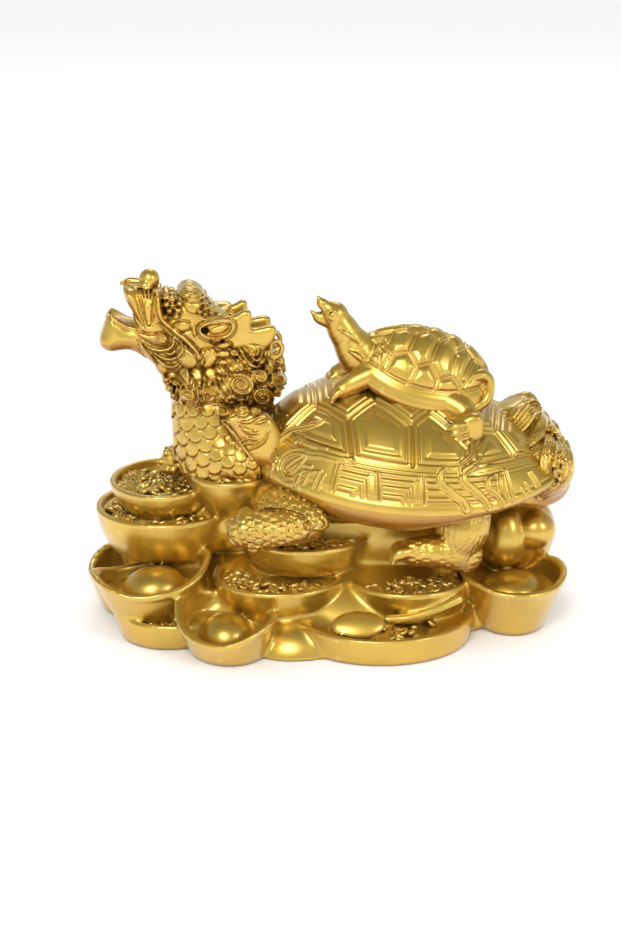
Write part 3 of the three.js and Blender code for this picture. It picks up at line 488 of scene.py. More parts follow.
# A piece from points and faces that all have the same count of sides. Points stay inside the solid's box
def putPiece(name, points, faces, material):
    points = np.clip((points + castShift) * mm, solidLow, solidHigh)
    sides = faces.shape[1]
    mesh = bpy.data.meshes.new(name)
    mesh.vertices.add(len(points))
    mesh.vertices.foreach_set("co", points.astype(np.float32).ravel())
    mesh.loops.add(faces.size)
    mesh.loops.foreach_set("vertex_index", faces.astype(np.int32).ravel())
    mesh.polygons.add(len(faces))
    mesh.polygons.foreach_set("loop_start", (np.arange(len(faces)) * sides).astype(np.int32))
    mesh.polygons.foreach_set("loop_total", np.full(len(faces), sides, np.int32))
    mesh.update(calc_edges=True)
    mesh.validate()
    mesh.polygons.foreach_set("use_smooth", np.ones(len(mesh.polygons), bool))
    mesh.update()
    piece = bpy.data.objects.new(name, mesh)
    bpy.context.scene.collection.objects.link(piece)
    mesh.materials.append(material)
    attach(piece, "root")
    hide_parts("dragon_turtle")
    report(f"{name}: {len(faces) * (sides - 2)} triangles")


# A piece from the skin of a block
def castPiece(name, block, material):
    points, faces = skinOf(block)
    putPiece(name, relaxed(points, faces), faces, material)


# Gives a node's sockets their values, or links them to other nodes' outputs
def setSockets(tree, node, sockets):
    for label, value in sockets.items():
        if isinstance(value, bpy.types.NodeSocket):
            tree.links.new(value, node.inputs[label])
        else:
            node.inputs[label].default_value = value


# A shader node with its settings and sockets, given back as its outputs
def addNode(tree, kind, sockets, **settings):
    node = tree.nodes.new(kind)
    for label, value in settings.items():
        setattr(node, label, value)
    setSockets(tree, node, sockets)
    return node.outputs


# Gold paint over resin with painted shade: darker in its recesses, found by ambient occlusion, and
# underneath, with a painted highlight on raised edges and a slow mottle of the paint's own tone
def makePaintedLightGroup():
    group = bpy.data.node_groups.new("paintShadeAndHighlight", "ShaderNodeTree")
    # Inputs: the paint's own colour, the painted shade and painted highlight colours, the occlusion reach,
    # the shares of painted shade in recesses, of painted highlight on edges and of painted shade underneath,
    # the roughness and the mottle's scale
    for label, kind, value in (
        ("Paint", "Color", (0.7, 0.45, 0.08, 1)),
        ("Painted Shade", "Color", (0.2, 0.11, 0.02, 1)),
        ("Edge Highlight", "Color", (0.9, 0.65, 0.2, 1)),
        ("Shade Reach", "Float", 0.002),
        ("Shade Share", "Float", 0.8),
        ("Edge Share", "Float", 0.5),
        ("Under Shade Share", "Float", 0.9),
        ("Roughness", "Float", 0.3),
        ("Mottle Scale", "Float", 120.0),
    ):
        socket = group.interface.new_socket(label, in_out="INPUT", socket_type=f"NodeSocket{kind}")
        socket.default_value = value
    for label, kind in (("Color", "Color"), ("Roughness", "Float"), ("Grain", "Float")):
        group.interface.new_socket(label, in_out="OUTPUT", socket_type=f"NodeSocket{kind}")
    given, result = group.nodes.new("NodeGroupInput").outputs, group.nodes.new("NodeGroupOutput")

    def ramp(value, low, high, **settings):
        sockets = {"Value": value, "From Min": low, "From Max": high}
        return addNode(group, "ShaderNodeMapRange", sockets, **settings)["Result"]

    def product(a, b):
        return addNode(group, "ShaderNodeMath", {0: a, 1: b}, operation="MULTIPLY")[0]

    def mixed(share, a, b, blend="MIX"):
        sockets = {"Factor": share, "A": a, "B": b}
        return addNode(group, "ShaderNodeMix", sockets, data_type="RGBA", blend_type=blend)["Result"]

    # Painted shade: the colour darkens towards the painted shade colour where ambient occlusion within the
    # reach finds the surface shut in
    openness = addNode(group, "ShaderNodeAmbientOcclusion", {"Distance": given["Shade Reach"]},
                       samples=8)["AO"]
    geometry = group.nodes.new("ShaderNodeNewGeometry").outputs
    facing = addNode(group, "ShaderNodeSeparateXYZ", {0: geometry["Normal"]})
    hollow = product(ramp(openness, 0.78, 0.22, interpolation_type="SMOOTHSTEP"), given["Shade Share"])
    # Painted highlight: raised edges, found by pointiness, turn towards the paler highlight colour
    edge = product(ramp(geometry["Pointiness"], 0.51, 0.62), given["Edge Share"])
    # Painted shade: faces that turn downwards are darkened by multiplying in a brown tint
    below = product(ramp(facing["Z"], 0.15, -0.45, interpolation_type="SMOOTHSTEP"), given["Under Shade Share"])
    place = group.nodes.new("ShaderNodeTexCoord").outputs["Object"]
    mottle = addNode(group, "ShaderNodeTexNoise", {
        "Vector": place, "Scale": given["Mottle Scale"], "Detail": 3,
    })
    grain = addNode(group, "ShaderNodeTexNoise", {"Vector": place, "Scale": 2600, "Detail": 2})
    slow = addNode(group, "ShaderNodeMapRange", {
        "Value": mottle["Fac"], "From Min": 0.3, "From Max": 0.7, "To Min": 0.86, "To Max": 1.08,
    })["Result"]
    tinted = mixed(1, given["Paint"], slow, "MULTIPLY")
    # The painted highlight on edges goes in first, then the painted shade in recesses and underneath; the
    # shaded recesses are also rougher
    shadedAndLitPaint = mixed(hollow, mixed(edge, tinted, given["Edge Highlight"]), given["Painted Shade"])
    under = mixed(below, shadedAndLitPaint, (0.6, 0.4, 0.12, 1), "MULTIPLY")
    duller = addNode(group, "ShaderNodeMath", {0: hollow, 1: 0.22, 2: given["Roughness"]},
                     operation="MULTIPLY_ADD")
    setSockets(group, result, {"Color": under, "Roughness": duller[0], "Grain": grain["Fac"]})
    return group


paintedLightGroup = makePaintedLightGroup()


# A finish in which the paint's colour, with its painted shade and painted highlight, and its fine grain feed
# a metal under a clear coat
def makeGold(name, finish):
    material = bpy.data.materials.new(name)
    material.use_nodes = True
    tree = material.node_tree
    paintShading = addNode(tree, "ShaderNodeGroup", {
        "Paint": (*finish["paint"], 1),
        "Painted Shade": (*finish["paintedShade"], 1),
        "Edge Highlight": (*finish["edgeHighlight"], 1),
        "Shade Reach": finish["reach"] * mm,
        "Shade Share": finish["shadeShare"],
        "Edge Share": finish["edgeShare"],
        "Under Shade Share": finish["underShadeShare"],
        "Roughness": finish["roughness"],
    }, node_tree=paintedLightGroup)
    grain = addNode(tree, "ShaderNodeBump", {
        "Strength": finish["grain"],
        "Distance": finish["grainDepth"] * mm,
        "Height": paintShading["Grain"],
    })
    setSockets(tree, tree.nodes["Principled BSDF"], {
        "Base Color": paintShading["Color"],
        "Roughness": paintShading["Roughness"],
        "Normal": grain["Normal"],
        "Metallic": finish["metallic"],
        "Coat Weight": 1,
        "Coat IOR": finish["coatIor"],
        "Coat Roughness": finish["coatRoughness"],
    })
    return material


# The paint's own colour, the painted shade colour for recesses and the painted highlight colour for raised
# edges, then the occlusion reach in millimetres that places the shade
goldFinish = {
    "paint": (0.68, 0.435, 0.045),
    "paintedShade": (0.27, 0.16, 0.015),
    "edgeHighlight": (0.80, 0.58, 0.14),
    "reach": 1.3,
    "edgeShare": 0.6,
    "roughness": 0.36,
    "metallic": 0.9,
    "grain": 0.25,
    "grainDepth": 0.05,
    "coatIor": 1.62,
    "coatRoughness": 0.25,
}
# Each finish takes its own share of painted shade underneath and in recesses
smoothGold = makeGold("smoothGold", {**goldFinish, "underShadeShare": 0.15, "shadeShare": 0.7})
shellGold = makeGold("shellGold", {**goldFinish, "underShadeShare": 1.0, "shadeShare": 0.8})
carvedGold = makeGold("carvedGold", {**goldFinish, "underShadeShare": 0.95, "reach": 0.9, "shadeShare": 0.6})


# The pile is two pieces that overlap inside it, the hidden one plainer
pile = {
    "ends": (-41.5, 41.5),
    "foot": -1.5,
    "top": 29.4,
    "front": (-26.6, 3.4),
    "back": (-0.8, 27.4),
    "step": 0.346,
    "backStep": 0.42,
    "wall": 0.95,
    "fillet": 0.9,
    "steep": 0.93,         # a millimetre out through a slanting wall is this much of its thickness
    # centre, radii and fillet of the balls below the dishes, then of those that stand over them
    "core": [((0, 1, 0), (33, 19, 12), 1.0), ((9, 1, 14), (19, 9.5, 11), 1.0),
             ((-15, 2, 15.4), (9, 7, 5.4), 1.0),
             ((-6.5, -13.5, -1), (9.4, 8.4, 6.4), 1.0)],
    "heaps": [((-15.6, -2.4, 24.4), (5.6, 5.2, 2.2), 0.4), ((30, -2.6, 13.4), (7.2, 4.8, 6.8), 0.8),
              ((28.2, -6, 13.4), (3.6, 3.8, 5.2), 0.12), ((33, -6.2, 14.8), (3.5, 3.4, 3.3), 0.12),
              ((4, 0, 22), (22, 12, 5.5), 0.6)],
    "bar": [(7.6, -17.8, 4.9), (11.2, -17.7, 5), (15.2, -17.2, 5.9), (19.2, -15.9, 7.2)],
    "barRadii": (0.8, 0.95, 0.95, 0.9),
    "cake": {"centre": (2.8, -20.4, 5.4), "radii": (4.3, 2.4, 0.8), "turned": (42, 0, 0)},
}
coin = {
    "radius": 1.05,
    "thick": 0.7,
    "crowd": 2.3,
    "spread": 0.83,
    "lean": 0.4,
    "seed": 11,
    # how far out and how high, from the middle of the face over the raised rim to the middle of the back
    "profile": [(0.01, 0.3), (0.62, 0.34), (0.8, 0.5), (1, 0.3), (1, -0.4), (0.01, -0.5)],
}


# Dishes from rows of x, y, both radii, the heights of foot and rim, the foot's share of the radii, how far
# the filling lies below the rim, and the coins
def dishesOf(rows):
    names = ("x", "y", "rx", "ry", "foot", "rim", "footShare", "fill", "coins")
    return [dict(zip(names, row)) for row in rows]


frontDishes = dishesOf([
    (-26.8, 3.6, 8.8, 9.6, 16.6, 22, 0.66, 1.5, 70),
    (-26.4, 3, 11.6, 11, 10.6, 17.9, 0.78, 1, 120),
    (-16, -3, 6.6, 6.2, 18, 25, 0.4, 0.2, 50),
    (-26, -8.3, 9, 8.2, -1, 4.2, 0.86, 1, 60),
    (-4.2, -4.4, 10.4, 9.4, 10, 15.1, 0.8, 1, 90),
    (-8.7, -8.8, 10.6, 8.9, 3, 9.6, 0.66, 1, 110),
    (7.5, -13.2, 14.4, 11.8, -1, 4.3, 0.93, 1, 40),
    (12.2, -8.2, 10.6, 9.6, 3.8, 8.7, 0.82, 1, 90),
])
backDishes = dishesOf([
    (17, 9, 11, 10, 5, 11, 0.75, 1, 40),
    (4, 13.2, 13, 11.8, -1, 5, 0.9, 1, 60),
    (-11, 10, 10.5, 10, 4, 12, 0.75, 1, 50),
])
plainIngot = {"yaw": 0, "pitch": 0, "roll": 0, "foot": 0.62, "swell": 0.75, "floor": 0.62,
              "dome": (0.6, 0.6, 0.42)}
ingots = [{**plainIngot, **ingot} for ingot in (
    {"at": (-28.3, -8.4, 3.2), "long": 9.6, "wide": 7.2, "high": 6.2, "lift": 3, "yaw": 8, "pitch": -6,
     "floor": 0.72, "dome": (0.54, 0.62, 0.56)},
    {"at": (-32.3, 2.6, -1), "long": 8.6, "wide": 7.2, "high": 7.4, "lift": 1.8, "yaw": -66},
    {"at": (-17.6, -16.4, -1), "long": 8.4, "wide": 7, "high": 6.6, "lift": 3, "yaw": -36, "roll": 9,
     "pitch": 6, "dome": (0.5, 0.6, 0.5)},
    {"at": (28.8, -10.2, -1), "long": 8.7, "wide": 8.8, "high": 9.6, "lift": 1.4, "yaw": 8, "foot": 0.5,
     "swell": 0.85, "floor": 0.74, "dome": (0.6, 0.55, 0.3)},
    {"at": (31, 7.6, -1), "long": 8.6, "wide": 7.4, "high": 9, "lift": 2, "yaw": -50},
    {"at": (20, 17.4, -1), "long": 8.8, "wide": 6.8, "high": 7, "lift": 3, "yaw": 152, "roll": 8},
    {"at": (-15, 17.2, -1), "long": 8.6, "wide": 7, "high": 7, "lift": 3, "yaw": 24, "roll": 8},
    {"at": (-27, 12.4, -1), "long": 8.6, "wide": 7, "high": 8, "lift": 2.6, "yaw": -30},
)]


# A dish of coins: a wall whose oval section widens upwards, with a rolled rim and a filling below it
def addDish(block, dish):
    rx, ry, foot, rim, share = (dish[key] for key in ("rx", "ry", "foot", "rim", "footShare"))
    mean, steep = 0.5 * (rx + ry), pile["steep"]
    wall = pile["wall"] / mean
    spare = 1.5
    middle, reach = np.array([dish["x"], dish["y"]]), np.array([rx, ry]) + spare
    place, x, y, z = windowOf(block, [*(middle - reach), foot - spare], [*(middle + reach), rim + spare])
    r = np.sqrt(((x - dish["x"]) / rx) ** 2 + ((y - dish["y"]) / ry) ** 2)
    t = np.clip((z - foot) / (rim - foot), 0, 1)
    belly = share + (1 - share) * np.sin(t * math.pi / 2) ** 0.8
    body = np.maximum((r - belly) * mean * steep, np.maximum(z - rim, foot - z))
    hollow = np.maximum((r - belly + wall) * mean * steep, rim - dish["fill"] - z)
    rolled = np.sqrt(((r - 1 + 0.5 * wall) * mean) ** 2 + (z - rim + 0.25) ** 2) - 0.55 * pile["wall"]
    joinTo(block, place, np.maximum(body, -hollow), pile["fillet"])
    joinTo(block, place, rolled, 0.25)


# A boat-shaped ingot: an oval hull whose rim climbs to both tips, with a dome in its hollow.
# The tips climb as the cube of the cosine of the way round it
def addIngot(block, ingot):
    at = np.array(ingot["at"], float)
    long, wide, high, lift = ingot["long"], ingot["wide"], ingot["high"], ingot["lift"]
    reach = max(long, wide) + 2
    place, x, y, z = windowOf(block, at - [reach, reach, 3], at + [reach, reach, high + lift + 4])
    p = alongTurned([x - at[0], y - at[1], z - at[2]], [ingot[key] for key in ("roll", "pitch", "yaw")])
    r = np.sqrt((p[0] / long) ** 2 + (p[1] / wide) ** 2) + 1e-5
    tip = np.abs(p[0] / long / r) ** 3
    rim = high + lift * tip * np.clip(r, 0, 1.1) ** 2
    mean = 0.5 * (long + wide)
    foot = ingot["foot"]
    belly = foot + (1 - foot) * np.clip(p[2] / rim, 0, 1) ** ingot["swell"]
    body = np.maximum((r - belly) * mean * 0.9, np.maximum(p[2] - rim, -p[2]))
    wall = 1.0 / mean
    floor = high * ingot["floor"]
    hollow = np.maximum((r - belly + wall) * mean * 0.85, (floor + 0.8 * lift * tip * r**2) - p[2])
    rolled = np.sqrt(((r - 1 + 0.5 * wall) * mean) ** 2 + (p[2] - rim + 0.3) ** 2) - 0.62
    dome = [share * size for share, size in zip(ingot["dome"], (long, wide, high))]
    joinTo(block, place, np.maximum(body, -hollow), pile["fillet"])
    joinTo(block, place, rolled, 0.3)
    joinTo(block, place, eggDistance([p[0], p[1], p[2] - floor], dome), 0.15)


# The piece ends in plane faces a millimetre inside nearY and farY, and the ground cuts it at 0
def buildPile(name, nearY, farY, step):
    (lowX, highX), foot, top = pile["ends"], pile["foot"], pile["top"]
    block = newBlock(((lowX, nearY, foot), (highX, farY, top)), step)
    for ball in pile["core"]:
        addBall(block, *ball)
    for dish in backDishes + frontDishes:
        addDish(block, dish)
    for ingot in ingots:
        addIngot(block, ingot)
    for ball in pile["heaps"]:
        addBall(block, *ball)
    cake = pile["cake"]
    addTube(block, pile["bar"], pile["barRadii"], fillet=0.15)
    addBall(block, cake["centre"], cake["radii"], 0.12, turned=cake["turned"])
    _, _, y, z = windowOf(block, block["low"], (highX, farY + step, top + step))
    ends = np.maximum(nearY + 1 - y, y - farY + 1)
    block["d"] = np.maximum(block["d"], np.maximum(-z, ends))
    castPiece(name, block, smoothGold)


# Coins heaped in the dishes: thin discs with a raised rim, each leaning its own way
def buildCoins():
    rng = np.random.default_rng(coin["seed"])
    columns = 9
    profile = np.array(coin["profile"])
    angle = np.arange(columns) / columns * 2 * math.pi
    out, high = profile[:, :1], profile[:, 1:]
    disc = np.stack([out * np.cos(angle), out * np.sin(angle), high + 0 * angle], -1).reshape(-1, 3)
    discFaces = gridFaces(len(profile), columns, closed=True)[:, ::-1]
    points, faces = [], []
    for dish in frontDishes + backDishes:
        number = int(coin["crowd"] * dish["coins"])
        far = coin["spread"] * np.sqrt(rng.uniform(0, 1, number))
        turn = rng.uniform(0, 2 * math.pi, number)
        radius = coin["radius"] * rng.uniform(0.55, 1.05, number)
        middle = np.column_stack([
            dish["x"] + dish["rx"] * far * np.cos(turn),
            dish["y"] + dish["ry"] * far * np.sin(turn),
            dish["rim"] - dish["fill"] + rng.uniform(-0.1, 0.8, number) * (1 - 0.45 * far),
        ])
        clear = np.ones(number, bool)
        for other in frontDishes + backDishes:
            if other is not dish:
                x, y, z = middle.T
                apart = np.hypot((x - other["x"]) / other["rx"], (y - other["y"]) / other["ry"])
                under, over = z < other["foot"] - 1.2, z > other["rim"] + 0.2
                clear &= (apart > other["footShare"] + 0.12) | under | over
        middle, radius, number = middle[clear], radius[clear], int(clear.sum())
        up = np.column_stack([*(rng.normal(0, coin["lean"], number) for _ in range(2)), np.ones(number)])
        up /= np.linalg.norm(up, axis=1)[:, None]
        side = np.cross(up, rng.normal(size=(number, 3)))
        side /= np.linalg.norm(side, axis=1)[:, None]
        lean = np.stack([side, np.cross(up, side), up], 1)
        scale = np.column_stack([radius, radius, np.full(number, coin["thick"])])
        start = sum(len(part) for part in points)
        points.append((middle[:, None] + (disc[None] * scale[:, None]) @ lean).reshape(-1, 3))
        first = start + np.arange(number)[:, None, None] * len(disc)
        faces.append((first + discFaces[None]).reshape(-1, 4))
    putPiece("coins", np.concatenate(points), np.concatenate(faces), carvedGold)


buildPile("pileFront", *pile["front"], pile["step"])
buildPile("pileBack", *pile["back"], pile["backStep"])
buildCoins()


# The dragon's shell: a dome of plates, and round it a band with a girdle and a fret
shell = {
    "length": 53.0,
    "width": 41.0,
    "middleX": 13.5,
    "rim": 23.2,
    "frontLift": 3.8,
    "rearLift": 4.2,
    "ridge": 39.85,
    "summitX": 8.0,
    "fall": 0.0155,
    "domeTo": 0.862,       # the rim band starts at this share of the way out
    "girdle": 0.885,       # and its girdle of long lines lies here
    "fretFrom": 0.907,
    "girdleScale": 34.0,   # millimetres that a whole share stands for at the girdle
    "bandScale": 36.0,     # and on the band
    "rearFrom": 34.0,      # x from which the rear is drawn in
    "rearShare": 0.84,
    "inside": (13.5, 0, 10),
    "skirt": 1.2,          # how far the edges under the relief reach down
    # how far out, as a share, and how far below the rim the smooth underside lies
    "hull": [(1.004, 0.3), (1.0, 0.8), (0.99, 1.4), (0.972, 2.1), (0.945, 2.8), (0.91, 3.4), (0.86, 3.9),
             (0.78, 4.3), (0.5, 4.5), (0.01, 4.6)],
}
halfLong, halfWide = shell["length"] / 2, shell["width"] / 2


# Height of the shell's rim, lowest a little behind its middle and climbing to both ends
def rimHeight(x):
    lowest = shell["middleX"] + 0.12 * shell["length"]
    ahead = (lowest - x) / (0.62 * shell["length"])
    behind = (x - lowest) / (0.38 * shell["length"])
    return shell["rim"] + np.where(x < lowest, shell["frontLift"] * ahead**2, shell["rearLift"] * behind**2)


# Height of the shell's top: an arched ridge that falls to the rim across it and at both ends
def shellTop(x, y):
    u = np.clip((x - shell["middleX"]) / halfLong, -1, 1)
    reach = halfWide * np.sqrt(np.maximum(1e-4, 1 - u * u))
    v = np.minimum(np.abs(y) / reach, 1)
    ridge = shell["ridge"] - shell["fall"] * (x - shell["summitX"]) ** 2
    fullness = np.sqrt(np.maximum(0, 1 - np.abs(u) ** 6)) * (1 - v * v) ** 0.62
    return rimHeight(x) + (ridge - rimHeight(x)) * fullness


# Plates meet along these lines, given as x and the distance from the ridge
plateSeams = [
    [(-7.6, 7.2), (-6.1, 6.8), (-2.5, 5.5), (1.9, 10.6), (6.5, 7.8), (11.8, 12.7), (14.8, 10), (20.8, 14.4),
     (22.8, 10.8), (25.5, 9.4), (28.3, 12.7), (31, 11)],
    [(-2.5, 5.5), (-2.3, 0)],
    [(6.5, 7.8), (6.8, 0)],
    [(14.8, 10), (15.2, 0)],
    [(25.5, 9.4), (27.5, 0)],
    [(1.9, 10.6), (2.2, 16.4)],
    [(11.8, 12.7), (11.3, 18)],
    [(20.8, 14.4), (20.7, 17)],
]
# Ribbons of hair that lie on the shell: points, and their half widths from end to end
ribbons = [
    ([(-1.4, 9.7), (-2.4, 9.8), (-3.6, 9.4), (-5, 8.7), (-6.2, 8), (-7.3, 7.6), (-8.3, 7.4), (-9.2, 7.4),
      (-9.3, 8), (-9.1, 9.1), (-8.7, 10)], (0.15, 0.5, 0.62, 0.6, 0.5)),
    ([(2.2, 15.9), (0.5, 15.3), (-1.2, 14.4), (-2.5, 13.6), (-3.9, 12.8), (-5.2, 11.7), (-6.4, 10.9),
      (-7.5, 10.4), (-8.3, 10.3), (-8.6, 10.6), (-8.4, 11.1), (-7.8, 12), (-6.9, 12.8)],
     (0.45, 0.5, 0.55, 0.62, 0.5, 0.3)),
    ([(-6.9, 4.2), (-8.4, 2.6), (-9.8, 2), (-10.6, 3.2), (-10.4, 5.4)], (0.2, 0.45, 0.5, 0.4)),
    ([(16.6, 17.5), (15.8, 18), (15.4, 18.5), (15.7, 19), (16.6, 19.3), (17.6, 19.6), (18.6, 19.7),
      (19.4, 19.9)], (0.2, 0.5, 0.6, 0.7)),
    ([(22.1, 15.2), (21.7, 15.9), (20.6, 16.8), (19.3, 17.6), (19, 18.1), (19.3, 18.5), (20.3, 18.7),
      (21.5, 18.9), (22.4, 19), (23, 19.1)], (0.12, 0.5, 0.62, 0.62, 0.55)),
    ([(21, 13.4), (21, 14.9), (20.1, 16), (18.9, 16.9), (18.6, 17.7)], (0.3, 0.35, 0.35, 0.15)),
    ([(24.1, 16.7), (23.3, 17.3), (23, 17.8), (23.4, 18.1), (24.3, 18.2), (25.4, 18.3)],
     (0.15, 0.45, 0.5, 0.45)),
    ([(24.9, 16.4), (25.1, 17.2), (25.6, 17.7), (26.2, 17.9)], (0.12, 0.35, 0.35, 0.2)),
    ([(26.1, 15.5), (26.5, 16.6), (27.1, 17.5)], (0.3, 0.35, 0.3)),
]
# Thin raised strokes between them
strokes = [
    [(-7.1, 12.7), (-6.2, 13.1), (-5, 13.6), (-3.7, 14.4), (-2.6, 15)],
    [(-6.5, 13.4), (-5.7, 13.6), (-4.7, 14), (-3.5, 14.6)], [(-6.1, 13.6), (-5.6, 13.5)],
    [(-5.2, 14.3), (-4.5, 14.2)], [(-3.9, 15.3), (-2.9, 15)], [(-3.1, 15.8), (-2.1, 15.5)],
    [(-6.8, 8.5), (-6.1, 9.9)], [(-6.3, 8.8), (-5.4, 10.4)], [(-5.7, 9.2), (-4.8, 10.8)],
    [(-5.2, 9.7), (-4.3, 11.2)], [(-7.7, 11.4), (-6.3, 11.8), (-4.9, 12.3)],
    [(-7.4, 11.9), (-6, 12.4), (-4.9, 12.7)], [(-6.4, 12.6), (-5.3, 12.8)], [(-5, 13.1), (-4, 13.9)],
    [(-4.8, 10.9), (-3.5, 12.1), (-1.4, 13.4)], [(-9.6, 4.8), (-9.2, 3.8), (-8.3, 3.8)],
    [(-8.4, 3.4), (-8.2, 5.6)], [(-7.8, 4.1), (-7.4, 6.2)],
    [(-12.3, 4.4), (-11, 5.2), (-10.9, 6.6), (-9.6, 9.2), (-9.9, 9.8), (-11.3, 7), (-12.3, 4.4)],
    [(-11.7, 5.2), (-11.3, 6.6), (-10.4, 8.5)], [(-11.5, 6.1), (-11, 6)], [(-11, 7.3), (-10.5, 7.1)],
    [(30.1, 14), (31.3, 14.9)], [(30.6, 13.6), (31.8, 14.5)], [(29.4, 15.4), (30, 15.8)],
    [(28.7, 16.2), (29.3, 16.4)],
]
# The fret on the band: boxes with a border at the left and nested lines that turn down at the right
fret = {
    "borders": (0.3, 5.95, 12.85),
    "pitch": 0.8,
    "high": 0.26,
    "panel": 1.4,
    "ladderTo": 25.0,
}


# Points of a line on the shell, given by x and the distance from the ridge
def shellLine(points, smooth=False):
    flat = smoothLine(points, 5 * len(points)) if smooth else broken(points, 8)
    return np.column_stack([flat, shellTop(flat[:, 0], flat[:, 1])])


# Distance from each point to a line, and the share of the line at which it is nearest. Points beyond reach
# keep 9
def nearestOn(points, line, reach=3.0):
    distance, share = np.full(len(points), 9.0), np.zeros(len(points))
    near = np.flatnonzero(((points > line.min(0) - reach) & (points < line.max(0) + reach)).all(1))
    points = points[near]
    best, at = np.full(len(points), 81.0), np.zeros(len(points))
    count = len(line) - 1
    for k in range(count):
        step = line[k + 1] - line[k]
        t = np.clip(((points - line[k]) @ step) / (step @ step + 1e-9), 0, 1)
        far = ((points - line[k] - t[:, None] * step) ** 2).sum(1)
        at = np.where(far < best, (k + t) / count, at)
        best = np.minimum(best, far)
    distance[near], share[near] = np.sqrt(best), at
    return distance, share


# A seam between plates: a groove between two fine ridges, a bevel, and the plate's own raised panel
def seamRelief(d):
    seam = -0.36 * bump(d, 0.2) + 0.17 * bump(d - 0.56, 0.2) - 0.17 * bump(d - 0.98, 0.11)
    return seam + 0.2 * smoothStep(1, 1.35, d) - 0.07 * bump(d - 2.05, 0.22) + 0.24 * smoothStep(2.1, 2.9, d)


# Two long lines between three grooves, d is how far out of the girdle's middle a point lies
def girdleRelief(d):
    return 0.17 * bump(np.abs(d) - 0.28, 0.15) - 0.1 * bump(d, 0.1) - 0.12 * bump(np.abs(d) - 0.58, 0.1)


# A ribbon stands up with a ridge along each edge and a groove beside it
def ribbonRelief(d, wide):
    top = 0.34 * (1 - smoothStep(wide - 0.12, wide + 0.12, d))
    edge = 0.13 * bump(d - 0.66 * wide, 0.15) - 0.1 * bump(d, 0.13)
    return top + edge - 0.2 * bump(d - wide - 0.24, 0.13)


# The fret over x and t, the way down the band in millimetres. Nested lines lie where the lesser of t and the
# way to the box's end is a whole number of pitches
def fretRelief(x, t):
    first, second, third = fret["borders"]
    pitch, high = fret["pitch"], fret["high"]
    p = x + 0.42 * t * (1 - smoothStep(-0.5, 4, x))
    border = np.where(p < second, second, third)
    nested = np.where(x > third, t - 0.1, np.minimum(t - 0.1, (border - 1.5 - p) * 0.85 + pitch))
    off = np.abs(np.mod(nested + pitch / 2, pitch) - pitch / 2)
    lines = high * bump(off, 0.21, 4) * (nested < 3.3 * pitch)
    inner = (border - p < fret["panel"]) & (x < third)
    panel = 0.2 * smoothStep(0.3, 0.5, border - p) * smoothStep(0.35, 0.6, t) + high * bump(t - 0.1, 0.2, 4)
    relief = np.where(inner, np.maximum(panel, 0), lines)
    edge = np.min([np.abs(p - b) for b in fret["borders"]], axis=0)
    relief = np.where(edge < 0.5, 0, relief)
    relief = relief + 0.24 * bump(edge - 0.26, 0.15) - 0.2 * bump(edge, 0.12)
    within = smoothStep(first - 0.7, first - 0.4, p)
    return relief * (within * (1 - smoothStep(fret["ladderTo"] - 1.5, fret["ladderTo"], x)))


# All relief on the shell's top: plates inside the girdle, the fret and the rim outside it, then the ribbons
# and the strokes, round which the rest lies flat. rho is the share of the way out from the middle to the rim
def shellRelief(skin):
    skin = np.column_stack([skin[:, 0], np.abs(skin[:, 1]), skin[:, 2]])
    seam = np.min([nearestOn(skin, shellLine(line), 4)[0] for line in plateSeams], axis=0)
    rho = np.sqrt(((skin[:, 0] - shell["middleX"]) / halfLong) ** 2 + (skin[:, 1] / halfWide) ** 2)
    out = (rho - shell["girdle"] + 0.03 * smoothStep(16, 30, skin[:, 0])) * shell["girdleScale"]
    plate = seamRelief(np.minimum(seam, np.maximum(-out - 0.15, 0)))
    relief = np.where(out < -0.44, plate, girdleRelief(out))
    rear = smoothStep(20, 22, skin[:, 0])
    relief = relief + rear * 0.14 * np.cos(out * 2 * math.pi / 0.62) * bump(out, 1.6, 6)
    t = (rho - shell["fretFrom"]) * shell["bandScale"]
    bandEnd = (1 - rho) * shell["bandScale"]
    fretIn = smoothStep(-0.25, -0.05, t) * smoothStep(0.35, 0.6, bandEnd)
    relief = relief + fretRelief(skin[:, 0], t) * fretIn
    relief = relief + 0.16 * bump(bandEnd, 0.3, 4) - 0.16 * bump(bandEnd - 0.55, 0.13)
    strands, quiet = np.zeros(len(skin)), np.ones(len(skin))
    for points, widths in ribbons:
        d, share = nearestOn(skin, shellLine(points, smooth=True))
        wide = eased(widths, share)
        form = ribbonRelief(d, wide)
        strands = np.where(d < wide + 0.1, np.maximum(strands, form), strands + np.minimum(form, 0))
        quiet *= smoothStep(wide * 0.9, wide + 0.35, d)
    for points in strokes:
        d, _ = nearestOn(skin, shellLine(points), 1.5)
        strands = np.maximum(strands, 0.26 * bump(d, 0.2, 4))
        quiet *= smoothStep(0.1, 0.5, d)
    return relief * quiet + strands


# Points moved along the grid's own normals, out from a point inside, by their relief
def raisedGrid(grid, relief, inside, closed=False):
    along = np.gradient(grid, axis=0)
    wrapped = np.concatenate([grid[:, -2:], grid, grid[:, :2]], 1) if closed else grid
    across = np.gradient(wrapped, axis=1)
    across = across[:, 2:-2] if closed else across
    normal = np.cross(across, along)
    normal /= np.linalg.norm(normal, axis=2)[..., None] + 1e-12
    sign = np.sign(((grid - inside) * normal).sum(2))
    return grid + normal * (sign * relief)[..., None]


# The shell's rear end is drawn in under the tail, to a share of its length beyond rearFrom
def rearDrawnIn(points):
    x, start = points[:, 0], shell["rearFrom"]
    return np.column_stack([np.where(x > start, start + shell["rearShare"] * (x - start), x), points[:, 1:]])


